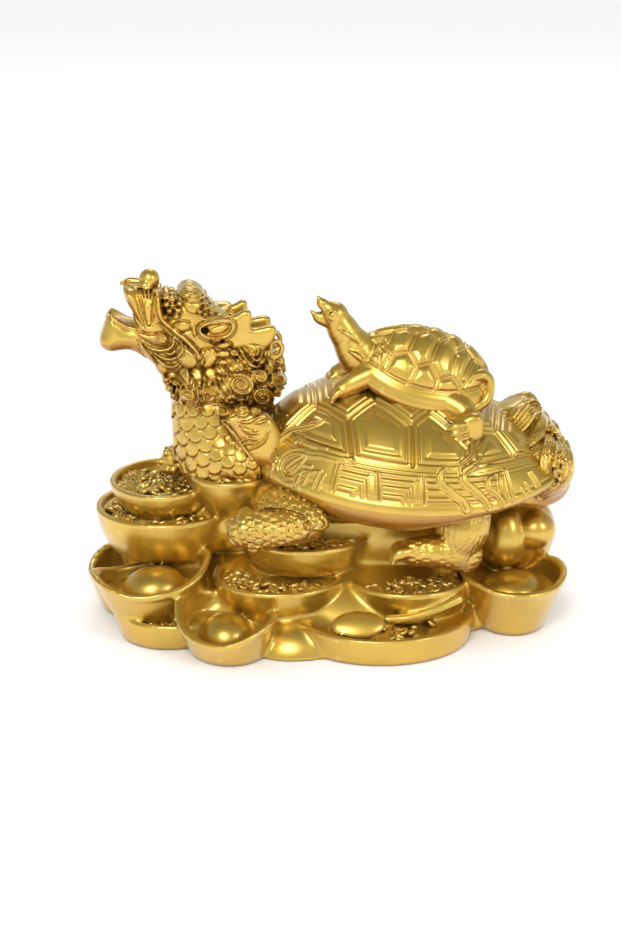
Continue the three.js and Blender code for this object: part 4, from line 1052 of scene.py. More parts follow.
# The dome inside the band. A square is drawn onto a disc: x = u sqrt(1 - v^2/2), y = v sqrt(1 - u^2/2),
# with more of its rows on the near side. A skirt closes it below, down to one point
def buildDome():
    n, nearRows = 305, 178
    v = np.concatenate([np.linspace(-1, 0, nearRows)[:-1], np.linspace(0, 1, n - nearRows + 1)])
    u, v = np.meshgrid(np.linspace(-1, 1, n), v, indexing="ij")
    reach = shell["domeTo"]
    x = shell["middleX"] + halfLong * reach * u * np.sqrt(1 - v * v / 2)
    y = halfWide * reach * v * np.sqrt(1 - u * u / 2)
    grid = np.stack([x, y, shellTop(x, y)], -1)
    relief = shellRelief(grid.reshape(-1, 3)).reshape(n, n)
    points = raisedGrid(grid, relief, np.array(shell["inside"])).reshape(-1, 3)
    faces = gridFaces(n, n)[:, ::-1]
    number = np.arange(n * n).reshape(n, n)
    ring = np.concatenate([number[0], number[1:, -1], number[-1, -2::-1], number[-2:0:-1, 0]])
    edge = points[ring] - [0, 0, shell["skirt"]]
    middle = edge.mean(0)
    rows = [middle + (edge - middle) * share for share in (0.6, 0.01)]
    index = np.concatenate([ring[None], len(points) + np.arange(3 * len(ring)).reshape(3, -1)])
    a, b = index[:-1], index[1:]
    skirt = np.stack([a, np.roll(a, -1, 1), np.roll(b, -1, 1), b], -1).reshape(-1, 4)
    points = rearDrawnIn(np.concatenate([points, edge, *rows]))
    putPiece("shellDome", points, np.concatenate([faces, skirt]), shellGold)


# The band, the lip and the smooth underside, as rings round the shell: x = X + a sin(e) cos(f),
# y = b sin(e) sin(f) on top, then a rounded hull below the rim that thins towards the rear
def buildBand():
    columns, rows = 1440, 50
    angle = np.arange(columns) / columns * 2 * math.pi
    start = math.asin(shell["domeTo"] - 0.012)
    spread = np.sin(np.linspace(start, math.pi / 2, rows))[:, None]
    x = shell["middleX"] + halfLong * spread * np.cos(angle)
    y = halfWide * spread * np.sin(angle)
    top = np.stack([x, y, shellTop(x, y)], -1)
    relief = shellRelief(top.reshape(-1, 3)).reshape(x.shape)
    top = raisedGrid(top, relief, np.array(shell["inside"]), closed=True)
    curve = smoothLine(shell["hull"], 15)
    around = shell["middleX"] + halfLong * np.cos(angle)
    thin = 1 - 0.55 * smoothStep(8, 24, around)
    under = np.stack([
        shell["middleX"] + halfLong * curve[:, :1] * np.cos(angle),
        halfWide * curve[:, :1] * np.sin(angle),
        rimHeight(around) - curve[:, 1:] * thin,
    ], -1)
    inner = top[0] - [0, 0, shell["skirt"]]
    points = np.concatenate([inner[None], top, under])
    faces = gridFaces(len(points), columns, closed=True)[:, ::-1]
    putPiece("shellBand", rearDrawnIn(points.reshape(-1, 3)), faces, shellGold)


buildDome()
buildBand()


head = {
    "box": ((-37.5, -7, 37.8), (-7.2, 7, 58.6)),
    "step": 0.158,
    "skull": [(-26.4, 49.2), (-25.6, 51), (-25.1, 52.4), (-24.2, 54), (-23.2, 55.3), (-22.2, 55.7),
              (-21.1, 55.4), (-20, 54.6), (-19.1, 53.5), (-17.9, 51.9), (-16.2, 50.4), (-13.6, 46.8),
              (-13.6, 42.6), (-17, 40.6), (-22, 40.6), (-25.8, 42.4)],
    "lowerJaw": [(-36.2, 46.6), (-35.6, 49), (-34.6, 51.2), (-33.4, 51), (-31.6, 49.9), (-29.4, 49.8),
                 (-25.4, 48), (-24.4, 42.6), (-26.5, 41), (-28.4, 43.3), (-31.4, 45.3), (-34.7, 45.2)],
    "upperJaw": [(-32.2, 54.6), (-31.6, 55.5), (-29.9, 55.5), (-26.9, 55.2), (-26, 53), (-25.4, 51),
                 (-23.9, 48.9), (-22, 46.6), (-20.6, 43.8), (-21.4, 42.1), (-22.9, 41.6), (-25.4, 42.8),
                 (-28, 45), (-30, 48.4), (-31, 51.4)],
    "nearAntler": [(-18, 50.4), (-15.2, 51.2), (-14, 51.9), (-13.1, 52.1), (-12.4, 51.5), (-12.4, 50.2),
                   (-12.5, 49.2), (-11.7, 49.1), (-10.2, 49.4), (-9.3, 49.5), (-8.6, 48.9), (-8.7, 47.8),
                   (-9.4, 46.5), (-10.7, 45.7), (-13, 45.6), (-16.3, 46), (-18.4, 47.4)],
    "farAntler": [(-18, 49.4), (-16.2, 50.5), (-14.7, 51.1), (-13.5, 51.7), (-12.8, 51.3), (-12.6, 50),
                  (-12.1, 48.8), (-11, 48.9), (-9.8, 49), (-9.1, 48.5), (-9.1, 47.3), (-10.7, 45.7),
                  (-13.2, 45.4), (-16.3, 46), (-18.4, 47.2)],
    "ear": [(-20.9, 49.3), (-20.3, 50.3), (-19.2, 50.8), (-17.6, 51), (-15.8, 50.9), (-15, 50.2),
            (-15.3, 48.9), (-16.5, 47.9), (-18.3, 47.6), (-20, 48.1)],
    "frontLobe": [(-32.2, 55.7), (-31.4, 56), (-30.6, 55.5), (-30.3, 54.2), (-29.8, 52.1), (-29, 49.6),
                  (-29.8, 50.5), (-30.7, 52), (-31.8, 53.9)],
    "palate": [(-30.1, 55.4), (-28.6, 55.6), (-27.2, 55.2), (-27.2, 53), (-27.4, 51), (-28.2, 49.8),
               (-29.2, 51)],
    "lowerLip": [(-30, 48.9), (-28.6, 48.5), (-27.5, 48.5), (-26.2, 48.7), (-25.2, 47.7), (-25.7, 46.5),
                 (-27.1, 46.6), (-28.4, 47.2), (-29.8, 48.2)],
    "pad": [(-24.1, 46.4), (-23.1, 46.8), (-21.6, 45.4), (-20.7, 44.2), (-20.9, 42.9), (-22.1, 42.5),
            (-23.4, 43.3), (-24.2, 44.6)],
    "cheek": [(-24.6, 50.1), (-23.2, 50.5), (-21.9, 50), (-22, 49.1), (-23.3, 48.7), (-24.4, 49.2)],
    "plate": [(-23.2, 53.5), (-22.8, 52.6), (-22.1, 51.6), (-21, 51.3), (-20.3, 52.1), (-20.1, 53.4),
              (-21.6, 53.3)],
    "ringLobe": [(-20.5, 45.7), (-19.4, 46.5), (-18.2, 46.1), (-17.8, 44.9), (-18.2, 43.6), (-19.1, 42.9),
                 (-20.2, 42.9), (-20.6, 43.8), (-20.3, 44.8)],
    "beads": [(-16.9, 46.7, 1.05, 0.55), (-16.9, 45.3, 1.15, 0.62), (-17, 43.8, 0.95, 0.6),
              (-17.9, 47.5, 0.6, 0.3)],
    "folds": [
        [(-29.1, 46.8), (-28.2, 46.2), (-26.9, 45.8), (-25.4, 46), (-24.6, 47), (-24.8, 48)],
        [(-28, 45.8), (-26.6, 44.7), (-25.3, 44.3), (-23.9, 44.9), (-23.2, 46), (-23.4, 47.2)],
        [(-27.7, 45), (-26.8, 44), (-25.6, 43.1), (-24.4, 43.2), (-23.8, 43.9)],
        [(-30, 47.6), (-29.4, 46.2), (-28.3, 44.7), (-27.4, 43.5)],
        [(-26, 45.4), (-25.2, 45.2), (-24.4, 45.6), (-24, 46.6)],
    ],
    "jawRim": [(-27.3, 55.5), (-26.7, 54.5), (-26.7, 52.9), (-26.4, 51.4), (-25.6, 50), (-24.2, 48.7),
               (-22.9, 47.5), (-21.7, 46.2), (-20.8, 44.9), (-20.4, 43.6), (-21.1, 42.5), (-22.1, 42),
               (-23.5, 42.4)],
    # x, z and radius
    "knobs": [(-26.6, 54.9, 0.5), (-25.7, 54.1, 0.6), (-24.7, 53.7, 0.6), (-25.6, 52.9, 0.55),
              (-24.5, 52.6, 0.55), (-25.2, 51.8, 0.5), (-23.9, 51.9, 0.5), (-24.2, 51, 0.5),
              (-23.6, 53, 0.45), (-25.6, 51, 0.4), (-19.6, 53, 0.5), (-18.7, 52.3, 0.5), (-19.5, 52, 0.5),
              (-18.6, 51.5, 0.45), (-17.8, 51.8, 0.45), (-20.3, 51.6, 0.4), (-19.5, 51.2, 0.4)],
}


# The face as it shows from the near side: mouth, lips, folds, cheek, brow, knobs and ear
def drawFace(sheet):
    drawField(sheet, head["frontLobe"], 0.8, plane=3.5, edge=0.8, groove=0.3)
    drawField(sheet, head["palate"], -0.5, plane=3.5, edge=0.5, groove=0)
    for x in (-29.6, -28.9, -28.2, -27.5):
        line = [(x, 55.4), (0.5 * (x - 28.3), 53.3), (0.35 * x - 18.4, 51.4), (0.2 * x - 22.6, 50)]
        drawLine(sheet, line, (0.16, 0.27, 0.2), 0.5, plane=3.5)
    drawLine(sheet, head["jawRim"], (0.35, 0.46, 0.42, 0.4, 0.36, 0.3), 0.8, groove=0.35)
    lip = [(-27.3, 50.4), (-26.2, 49.6), (-25.1, 48.5), (-23.8, 47.4), (-22.6, 46.4)]
    drawLine(sheet, lip, (0.12, 0.28, 0.15), 0.45, groove=0.2)
    drawField(sheet, head["lowerLip"], 0.75, edge=0.9, groove=0.3)
    drawDome(sheet, (-26.4, 47.6), 0.95, 0.3, pitch=0.62, ridge=0.24, join=False)
    drawLine(sheet, [(-34.2, 51.6), (-33.2, 50.7), (-31.8, 49.8), (-30.3, 49.2)], (0.2, 0.42, 0.25), 0.5,
             plane=3.5)
    for line in head["folds"]:
        drawLine(sheet, line, (0.14, 0.32, 0.32, 0.16), 0.5, groove=0.25)
    drawField(sheet, head["pad"], 0.7, edge=0.7, groove=0.3)
    drawField(sheet, head["cheek"], 0.5, edge=0.6, groove=0.25)
    drawField(sheet, [(-21.9, 50.4), (-21.1, 49.7), (-20.8, 48.5), (-21.5, 48)], 0.35, edge=0.4)
    drawField(sheet, head["ringLobe"], 0.6, plane=5, edge=0.6, groove=0.3)
    drawLine(sheet, [(-20.1, 44.9), (-19.8, 46.1), (-19, 46.2), (-18.6, 45)], (0.12, 0.22, 0.12), -0.35,
             plane=5, groove=0)
    drawLine(sheet, [(-20.1, 43.7), (-19.6, 44.6), (-19, 45.4)], (0.1, 0.2, 0.1), -0.25, plane=5, groove=0)
    for x, z, long, high in head["beads"]:
        drawDome(sheet, (x, z), (long, high), 0.6, plane=5, groove=0.35)
    drawField(sheet, head["plate"], 0.3, plane=3, edge=0.3, groove=0.3)
    drawDome(sheet, (-21.8, 54.75), (1.9, 0.95), 0.75, plane=3, groove=0.2)
    drawDome(sheet, (-21.8, 54.9), 0.5, 0.35, plane=3, join=False, groove=0.35)
    lid = [(-23.7, 54.8), (-22.8, 53.9), (-21.4, 53.6), (-20, 53.8), (-19.3, 54.3)]
    drawLine(sheet, lid, (0.2, 0.32, 0.25), 0.5, plane=3, groove=0.3)
    brow = [(-23.8, 54.6), (-23, 55.6), (-21.8, 56), (-20.6, 55.4), (-19.4, 54.2)]
    drawLine(sheet, brow, (0.2, 0.32, 0.2), 0.5, plane=3, groove=0.2)
    for k, (x, z, radius) in enumerate(head["knobs"]):
        drawDome(sheet, (x, z), radius, 0.75, plane=3, pitch=0.42, hand=1 if k % 2 else -1, ridge=0.16,
                 groove=0.35)
    drawField(sheet, head["ear"], 0.3, plane=5.5, edge=0.35, hollow=0.95, groove=0.3)
    drawDome(sheet, (-19.8, 49.3), (0.6, 0.5), -0.9, plane=5.5, groove=0, join=False)
    drawField(sheet, [(-19, 49.4), (-17.2, 50.1), (-16, 49.9), (-16.9, 48.9), (-18.4, 48.6)], 0.4, plane=5.5,
              edge=0.5, groove=0)


# Slabs with the side views of skull, jaws, antlers and ears, and a tube that hollows the mouth
def buildHead():
    block = newBlock(head["box"], head["step"], reach=1.0)
    addSlab(block, head["skull"], 4.3, inward=3.4, thin=0.25)
    addSlab(block, head["lowerJaw"], 3.7, inward=2.6, thin=0.4)
    addTube(block, [(-27.5, 0, 50.6), (-31.6, 0, 51.2), (-37.4, 0, 52.8)], [1.4, 1.4, 1.7], flat=1.5,
            cut=True)
    addSlab(block, head["upperJaw"], 3.8, inward=2.2, thin=0.5)
    addBall(block, (-28.1, 0, 56.3), (1.65, 1.7, 1.65), 0.2)
    addBall(block, (-28.7, -1.1, 55.5), (1.1, 1, 0.9), 0.15)
    addTube(block, [(-28, 1.4, 55.3), (-31.2, 1.8, 55.6), (-32.4, 1.6, 55.3)], [0.6, 0.6, 0.4])
    for side in (-1, 1):
        addBall(block, (-24.9, 1.5 * side, 52.8), (1.7, 1.9, 1.7), 0.3)
        addBall(block, (-22.4, 3.4 * side, 44.6), (2, 1.2, 2.5), 0.3, turned=(0, 40, 0))
        addBall(block, (-19.2, 4 * side, 44.9), (1.6, 1, 2.1), 0.3, turned=(0, 20, 0))
        addBall(block, (-17, 4 * side, 44.8), (1.6, 1.1, 2.4), 0.3)
        antler = head["nearAntler" if side < 0 else "farAntler"]
        addSlab(block, antler, 1.0, y=3.8 * side, thin=0.55, inward=1.0, fillet=0.15)
        addSlab(block, head["ear"], 0.9, y=5.3 * side, thin=0.6, inward=0.5, fillet=0.1)
    sheet = newSheet((-36, 37), (-7, 60), 4)
    drawFace(sheet)
    pressSheet(block, sheet, least=0.6)
    castPiece("head", block, carvedGold)


buildHead()


# The mane: a mass round the back of the jaw, covered by curls and by strands of hair that flow between them
mane = {
    "box": ((-28, -10.4, 26.4), (-4.8, 10.4, 50)),
    "step": 0.178,
    "seed": 4,
    "masses": [((-15.8, 0, 40.4), (6.4, 6.3, 6.2)), ((-20.6, 0, 39.4), (4.7, 6.3, 4.8)),
               ((-11.4, 0, 40.2), (3.9, 5.2, 4.4)), ((-10.8, 0, 43.8), (2.2, 3, 2.8)),
               ((-25.2, 0, 40.6), (1.5, 2.6, 2.3))],
    # x, z and radius of the curls, then how they turn
    "curls": [(-14.3, 40.4, 2, 1), (-10.9, 38.2, 1.75, -1), (-11.3, 41.6, 1.35, 1), (-22.7, 38.8, 1.25, 1),
              (-14.1, 36.2, 1.2, -1), (-17.3, 36.2, 1.05, 1), (-20.8, 36.3, 1.05, -1), (-8.3, 41.2, 1.2, -1),
              (-12.1, 36.1, 0.8, 1), (-15.3, 45.7, 0.7, 1), (-25.9, 41.4, 0.75, 1), (-25.6, 40, 0.75, -1),
              (-24.9, 38.8, 0.65, 1), (-24.5, 40.9, 0.6, -1), (-8.4, 38.9, 0.8, 1)],
    "strands": [
        [(-19.6, 41.2), (-19.8, 39.3), (-19.4, 37.5), (-18.2, 36.4)],
        [(-18.7, 41), (-18.8, 39.1), (-17.9, 37.5), (-16.7, 36.9)],
        [(-17.9, 40.8), (-17.4, 38.9), (-16.4, 37.6), (-15.5, 37.1)],
        [(-17.1, 40.9), (-16.5, 39.4), (-15.6, 38.2), (-14.9, 37.5)],
        [(-20.3, 41), (-20.7, 39.1), (-20.5, 37.6), (-20.9, 36.6)],
        [(-21.3, 41), (-21.5, 39.6), (-21.4, 38), (-22, 36.9)],
        [(-16.8, 42.2), (-16.6, 41.2), (-16.5, 39.9), (-16.1, 38.8)],
        [(-16, 43.7), (-15.2, 42.8), (-14.2, 42.6)], [(-15.2, 44.6), (-14.3, 43.4), (-13.2, 42.7)],
        [(-14.3, 45.2), (-13.3, 43.8), (-12.2, 43.2)], [(-13.6, 44.2), (-12.5, 43.3), (-11.2, 43.2)],
        [(-10.6, 44.6), (-10, 43.4), (-9.4, 42.6)], [(-12.8, 39), (-13, 38), (-13.2, 37.4)],
        [(-12.7, 42.4), (-12.4, 40.9), (-12, 39.9)],
        [(-23.9, 40.6), (-24.2, 39.4), (-24.1, 37.8), (-23.2, 36.7)],
        [(-19.2, 36.9), (-19.6, 35.8), (-19, 35.2)], [(-15.8, 36.8), (-15.5, 35.8), (-14.9, 35.3)],
        [(-9.9, 40.6), (-8.8, 39.8), (-7.6, 39.6), (-6.7, 40)], [(-9.8, 41.1), (-8.9, 40.4), (-7.9, 40.1)],
        [(-17.9, 43.4), (-17.3, 42.6), (-17.2, 41.8)],
    ],
    "apron": [(-17.3, 35), (-16.5, 34.2), (-15, 31.9), (-13.8, 29.9), (-12.8, 28.2), (-10.4, 27.2),
              (-8.2, 28.4), (-7.8, 31), (-8.8, 34), (-10.6, 36.2), (-13, 36.9), (-16, 36.6)],
    "apronLines": [
        [(-14.8, 34.6), (-13.6, 33.8), (-12, 33.5)], [(-14.5, 33.9), (-13.4, 33.3), (-11.8, 33)],
        [(-14.5, 31.9), (-13.4, 32.3), (-12, 32)], [(-14.3, 31.2), (-13.2, 31.6), (-12.3, 31.2)],
        [(-15, 35.2), (-13.4, 35), (-12.6, 35.4), (-11.4, 36)],
        [(-13.4, 30.4), (-12, 31), (-10.8, 32), (-10.2, 33.6)], [(-12.4, 34.8), (-11.2, 35), (-10.2, 35.6)],
    ],
    "spikes": [((-23.1, 42.7), (-22.5, 40.2)), ((-21.2, 42.5), (-20.5, 39.9)), ((-19.1, 42.4), (-18, 40)),
               ((-17.6, 42.8), (-15.7, 41.8))],
    # the lock under the antler, a chevron of lines and their radii
    "chevron": [
        ([(-14.8, 46.9), (-14, 45.5), (-13, 44.2), (-11.8, 43.3), (-10.7, 44.3), (-10.4, 45.6)], 0.42),
        ([(-14, 46.7), (-13, 45.5), (-11.8, 44.2), (-11, 45.1), (-10.9, 46)], 0.32),
        ([(-13.1, 46.3), (-11.9, 45), (-11.4, 46)], 0.3),
    ],
    "apronEdge": [(-17.4, 35), (-16.4, 33.9), (-15, 31.8), (-13.7, 29.8), (-12.9, 28.6)],
    "loop": [(-9.3, 46.3), (-8.3, 46.5), (-7.6, 45.4), (-8, 44.3), (-9.1, 43.8), (-9.5, 45), (-9.3, 46.3)],
    # x, y, z and radius of the curls behind, which the camera doesn't see
    "back": [(-9, 0, 45.6, 1.1), (-8.4, 1.9, 43.8, 1.1), (-8.4, -1.9, 43.6, 0.9), (-7.7, 0, 42.6, 1.2),
             (-7.5, 2.4, 40.8, 1.1), (-7.4, 0, 39.6, 1.2), (-7.6, 3.2, 38, 1)],
}


# Small curls in the places that the big ones and the strands leave free, from a fixed draw
def freePlaces(rng, tries, low, high, taken, lines, sizes):
    taken, free = list(taken), []
    for _ in range(tries):
        x, z, radius = rng.uniform(low[0], high[0]), rng.uniform(low[1], high[1]), rng.uniform(*sizes)
        clear = all(math.hypot(x - a, z - b) > 0.94 * (radius + c) for a, b, c in taken)
        if clear and (lines is None or np.hypot(*(lines - [x, z]).T).min() > radius * 0.6):
            taken.append((x, z, radius))
            free.append((x, z, radius))
    return free


# A curl of hair on a dome: its height follows a spiral, cos 2 pi (r / pitch - angle / 2 pi)
def addCurl(block, centre, radius, normal, hand):
    pitch, deep, ridge = 0.55, 1.6, 0.13
    n = np.asarray(normal, float) / np.linalg.norm(normal)
    s = np.cross(n, (0.1, 0.2, 1))
    s /= np.linalg.norm(s)
    t = np.cross(n, s)
    centre = np.asarray(centre, float)
    place, x, y, z = windowOf(block, centre - radius - 1, centre + radius + 1)
    q = [x - centre[0], y - centre[1], z - centre[2]]
    a, b, c = (q[0] * e[0] + q[1] * e[1] + q[2] * e[2] for e in (s, t, n))
    r = np.sqrt(a * a + b * b)
    turn = np.arctan2(b, a) * hand / (2 * math.pi)
    spiral = np.cos(2 * math.pi * (r / pitch - turn)) * smoothStep(0.1, 0.5, r / pitch)
    height = 0.5 * radius * np.sqrt(np.clip(1 - 0.85 * (r / radius) ** 2, 0, 1)) + ridge * spiral
    joinTo(block, place, np.maximum(np.maximum(c - height, (r - radius) * 0.95), -c - deep), 0.1)


# Balls and the hanging apron make the mass. The sheet's strands, curls and spikes lie on it
def buildMane():
    block = newBlock(mane["box"], mane["step"], reach=1.2)
    for centre, radii in mane["masses"]:
        addBall(block, centre, radii, 0.8)
    for side in (-1, 1):
        addSlab(block, mane["apron"], 1.5, y=6.9 * side, thin=0.3, inward=2.4, fillet=0.8)
        addBall(block, (-12.4, 4.4 * side, 45), (2.5, 1.3, 2), 0.4)
    sheet = newSheet((-28, 25), (-5, 52), 5.5)
    lines = np.concatenate([smoothLine(line, 8) for line in mane["strands"]])
    taken = [curl[:3] for curl in mane["curls"]]
    rng = np.random.default_rng(mane["seed"])
    for line in mane["strands"]:
        for shift in (-0.3, 0.3):
            drawLine(sheet, np.add(line, [shift, 0.12 * shift]), (0.2, 0.34, 0.32, 0.12), 0.65, groove=0.22)
    free = freePlaces(rng, 1500, (-23.6, 35.4), (-7.2, 45.4), taken, lines, (0.42, 0.8))
    for k, (x, z, radius) in enumerate(free):
        if z > 35.4 + 0.42 * max(x + 12, 0) and (x > -15.4 or z < 39.4):
            drawDome(sheet, (x, z), radius, 0.65, pitch=0.44, hand=1 if k % 2 else -1, groove=0.15)
    for x, z, radius, hand in mane["curls"]:
        radii = (radius * 1.1, radius * 0.92)
        drawDome(sheet, (x, z), radii, 1.15, tilt=-30, pitch=0.8, hand=hand, ridge=0.36, groove=0.25)
    for base, tip in mane["spikes"]:
        drawLine(sheet, [base, tip], (0.95, 0.05), 1.0, plane=5, groove=0.3, straight=True)
        drawLine(sheet, [base, tip], (0.4, 0.03), -0.25, plane=5, groove=0, straight=True)
    for line, radius in mane["chevron"]:
        drawLine(sheet, line, (0.6 * radius, radius, 0.6 * radius), 0.7, groove=0.3)
    drawLine(sheet, [(-24, 35.9), (-21.6, 35.4), (-19, 34.6), (-16.8, 34.6)], (0.2, 0.5, 0.45, 0.2), 0.6,
             groove=0.3)
    for line in mane["apronLines"]:
        drawLine(sheet, line, (0.12, 0.3, 0.12), 0.45, plane=8)
    drawLine(sheet, mane["apronEdge"], (0.25, 0.36, 0.36), 0.5, plane=8, groove=0.2)
    pressSheet(block, sheet, least=1.8)
    for side in (-1, 1):
        addTube(block, [(x, 2.6 * side, z) for x, z in mane["loop"]], [0.42, 0.42], fillet=0.08)
    for x, y, z, radius in mane["back"]:
        addCurl(block, (x, y, z), radius, (1, y * 0.2, 0.25), hand=1 if y > 0 else -1)
    castPiece("mane", block, carvedGold)


buildMane()


# The neck, the fore legs and the hind legs, each with rows of scales
legForm = {
    "neckBox": ((-28.9, -10, 19.4), (-5.6, 10, 42)),
    "foreBox": ((-25.6, -20, 14), (0.4, 20, 28)),
    "hindBox": ((7, -18.6, 9.6), (27, 18.6, 29.6)),
    "neckStep": 0.17,
    "foreStep": 0.18,
    "hindStep": 0.21,
    "neck": [(-19.4, 39.5), (-19.2, 35), (-18.8, 30.5), (-17.4, 25.6)],
    "neckRadii": [4.4, 5.9, 6.2, 6.4],
    "neckField": [(-25.9, 38), (-26, 33), (-25.2, 28), (-23.8, 26.4), (-21, 25), (-16, 24.4), (-12.2, 24.2),
                  (-11.4, 27), (-13, 29.4), (-15, 32.4), (-16.6, 35.4), (-18, 38)],
    "thighScales": {"around": 26, "long": 1.1, "high": 0.25, "up": (1, 0, 0)},
    "pawScales": {"around": 14, "long": 1.2, "high": 0.3, "up": (0, 1, 0)},
    "farScales": {"around": 14, "long": 1.5, "high": 0.45, "up": (0, 0, 1)},
    "foreArm": [(-5.2, 21.6), (-8.3, 22.6), (-11.3, 22.8), (-14, 23.4), (-16.4, 22.4), (-17.3, 20.6),
                (-16.4, 18.6), (-14.6, 17.3), (-12, 16.9), (-8.5, 17.4), (-5.6, 18), (-4.4, 19.8)],
    "upperArm": [(-12.6, 27), (-12.6, 22.6), (-9, 22.4), (-5.8, 21.2), (-4.4, 19.4), (-1, 20), (-0.8, 24),
                 (-4, 27)],
    "knuckles": [(-14.2, -14.6, 22.2, 1.2), (-16.2, -15.4, 20.8, 1.2), (-15.8, -16.8, 18.9, 1.2),
                 (-13.2, -17.4, 17.8, 1.1), (-11, -17, 17.8, 0.9)],
    "farPaw": (-25.4, 4.6, 24.6),
    "seed": 8,
}


# A tube that widens downwards, a breast, and the far paw's bunch of small balls
def buildNeck():
    block = newBlock(legForm["neckBox"], legForm["neckStep"], reach=0.6)
    addTube(block, [(x, 0, z) for x, z in legForm["neck"]], legForm["neckRadii"], count=24)
    addBall(block, (-14.6, 0, 27.6), (7, 8, 5.4), 1.0, turned=(0, 30, 0))
    rng = np.random.default_rng(legForm["seed"])
    addBall(block, legForm["farPaw"], (1.9, 2, 2.1), 0.2)
    for _ in range(34):
        way = rng.normal(size=3)
        way /= np.linalg.norm(way)
        addBall(block, np.array(legForm["farPaw"]) + 2 * way, rng.uniform(0.5, 0.8), 0.08)
    sheet = newSheet((-27, 14), (0, 40), 7)
    middleLine = [(-19.4, 40), (-19.6, 35), (-18.6, 30), (-16.4, 25), (-15, 22)]
    drawScales(sheet, middleLine, (6.4, 6.8, 8, 10), 2.35, 1.9, 0.62, legForm["neckField"])
    pressSheet(block, sheet, least=1.2)
    castPiece("neck", block, carvedGold)


# Both upper arms, the near arm with its knuckles, and the far arm that reaches forward
def buildForeLegs():
    block = newBlock(legForm["foreBox"], legForm["foreStep"], reach=0.6)
    for side in (-1, 1):
        upper = [(-9.4, 8.6 * side, 21.9), (-7.2, 12.6 * side, 21.3), (-4.6, 15 * side, 20.6)]
        addTube(block, upper, [3.4, 3.4, 2.9], count=20)
    nearArm = [(-5.2, -15.4, 19.8), (-9.5, -16, 20), (-13.6, -16, 20.2), (-15, -16, 19.8)]
    addTube(block, nearArm, [2.2, 2.5, 2.9, 2.2], count=18)
    for *centre, radius in legForm["knuckles"]:
        addBall(block, centre, radius, 0.2)
    farArm = [(-6, 14.6, 20.6), (-15, 12.6, 21.4), (-22.5, 6.6, 22.8)]
    addTube(block, farArm, [2.6, 2.8, 2.3], count=20, scales=legForm["farScales"])
    arms = newSheet((-20, 14), (0, 29), 15)
    drawScales(arms, [(-11, 28), (-9.6, 25.6), (-6.6, 22.6), (-2.6, 20.4)], (4.6, 4.4, 4), 1.5, 1.2, 0.7,
               legForm["upperArm"])
    drawScales(arms, [(-4, 19.6), (-8, 20), (-12, 20), (-18, 19.6)], (3.2, 3.2, 3.4), 1.5, 1.25, 0.55,
               legForm["foreArm"], plane=16, grain=0.1)
    drawLine(arms, [(-12, 22.9), (-8.4, 22.8), (-5.6, 21.6), (-4, 20)], (0.2, 0.35, 0.2), -0.6, groove=0)
    pressSheet(block, arms, least=11)
    castPiece("foreLegs", block, carvedGold)


# On each side a thigh, a paw and three toes
def buildHindLegs():
    block = newBlock(legForm["hindBox"], legForm["hindStep"], reach=0.6)
    for side in (-1, 1):
        thigh = [(20, 9 * side, 23.4), (20.2, 12.4 * side, 18.6), (18.8, 13.2 * side, 14.6)]
        addTube(block, thigh, [5.2, 4.2, 3.2], count=20, scales=legForm["thighScales"])
        paw = [(20.4, 13 * side, 13.6), (16.4, 14.2 * side, 14.8), (12, 14.4 * side, 15)]
        addTube(block, paw, [2.7, 2.5, 2.1], count=16, scales=legForm["pawScales"])
        for toe in (-1, 0, 1):
            tipLine = [(12.6, (14.4 + toe) * side, 15.4), (9.6, (14.8 + 1.3 * toe) * side, 15.2),
                       (8.6, (15 + 1.4 * toe) * side, 13.8)]
            addTube(block, tipLine, [0.8, 1.05, 0.35], fillet=0.1)
    castPiece("hindLegs", block, carvedGold)


buildNeck()
buildForeLegs()
buildHindLegs()


# The tail: a brush of hair that comes up round the shell's rear
tail = {
    "box": ((22, -12.6, 16.6), (40.8, 12.6, 38.6)),
    "step": 0.17,
    "seed": 6,
    "outline": [(25, 33), (27.6, 33.8), (29.5, 34.6), (31.9, 35.2), (33.1, 34.6), (34.6, 33), (36, 31.6),
                (37, 30), (37.9, 27.6), (38.6, 24.6), (38, 21), (36, 18.6), (34.2, 20), (33.8, 24),
                (32.4, 26.8), (29.4, 28.4), (26.8, 30.6)],
    "lobe": [(30, 8.6, 21.4), (33.4, 8, 20.8), (36.4, 7, 21.8), (37.7, 5.4, 24.6), (37.3, 4.4, 28),
             (35.8, 3.6, 30.6)],
    # combed locks: the middle line, how far its lines lie from it, their radius and height, and the plane
    "locks": [
        ([(33.4, 34.6), (33.1, 32.6), (32, 31), (30.6, 29.8), (29.4, 28.9)], (-1, -0.5, 0, 0.5, 1), 0.32,
         0.5, 8),
        ([(34.4, 31.6), (34.6, 29.2), (34.4, 26.6), (34.9, 24.8), (36, 24)], (-1.05, -0.35, 0.35, 1.05),
         0.42, 0.8, 8),
        ([(31, 27.6), (31.8, 29.2), (33.2, 29.8), (34.2, 29)], (-0.5, 0, 0.5), 0.26, 0.35, 9),
        ([(37.2, 30), (37.8, 27), (37.5, 24), (35.9, 22.3), (33.6, 20.9)], (-0.7, 0.1, 0.9), 0.45, 0.8, 7),
        ([(35.8, 31), (36, 28.4), (35.6, 25.8), (35.9, 23.8)], (-0.3, 0.4), 0.4, 0.7, 8),
    ],
    "topLock": ([(26.6, 31.2), (28.4, 31.8), (29.8, 33.2), (31, 34.8), (32.4, 35.8), (33.6, 35.2)],
                (-1.6, -0.96, -0.32, 0.32, 0.96, 1.6), 0.42, 0.95, 6),
    "topCurls": [(26.4, 33.4, 0.7), (27.6, 34, 0.6), (27.2, 32.6, 0.6), (28.4, 33.2, 0.5), (26, 32.2, 0.5)],
    "leaf": [(33.2, 35.2), (34, 33.6), (33.8, 31.6), (32.6, 30.2), (30.8, 29.2), (29.2, 28.6), (30.2, 30.4),
             (31.4, 32.2), (32.2, 34)],
}


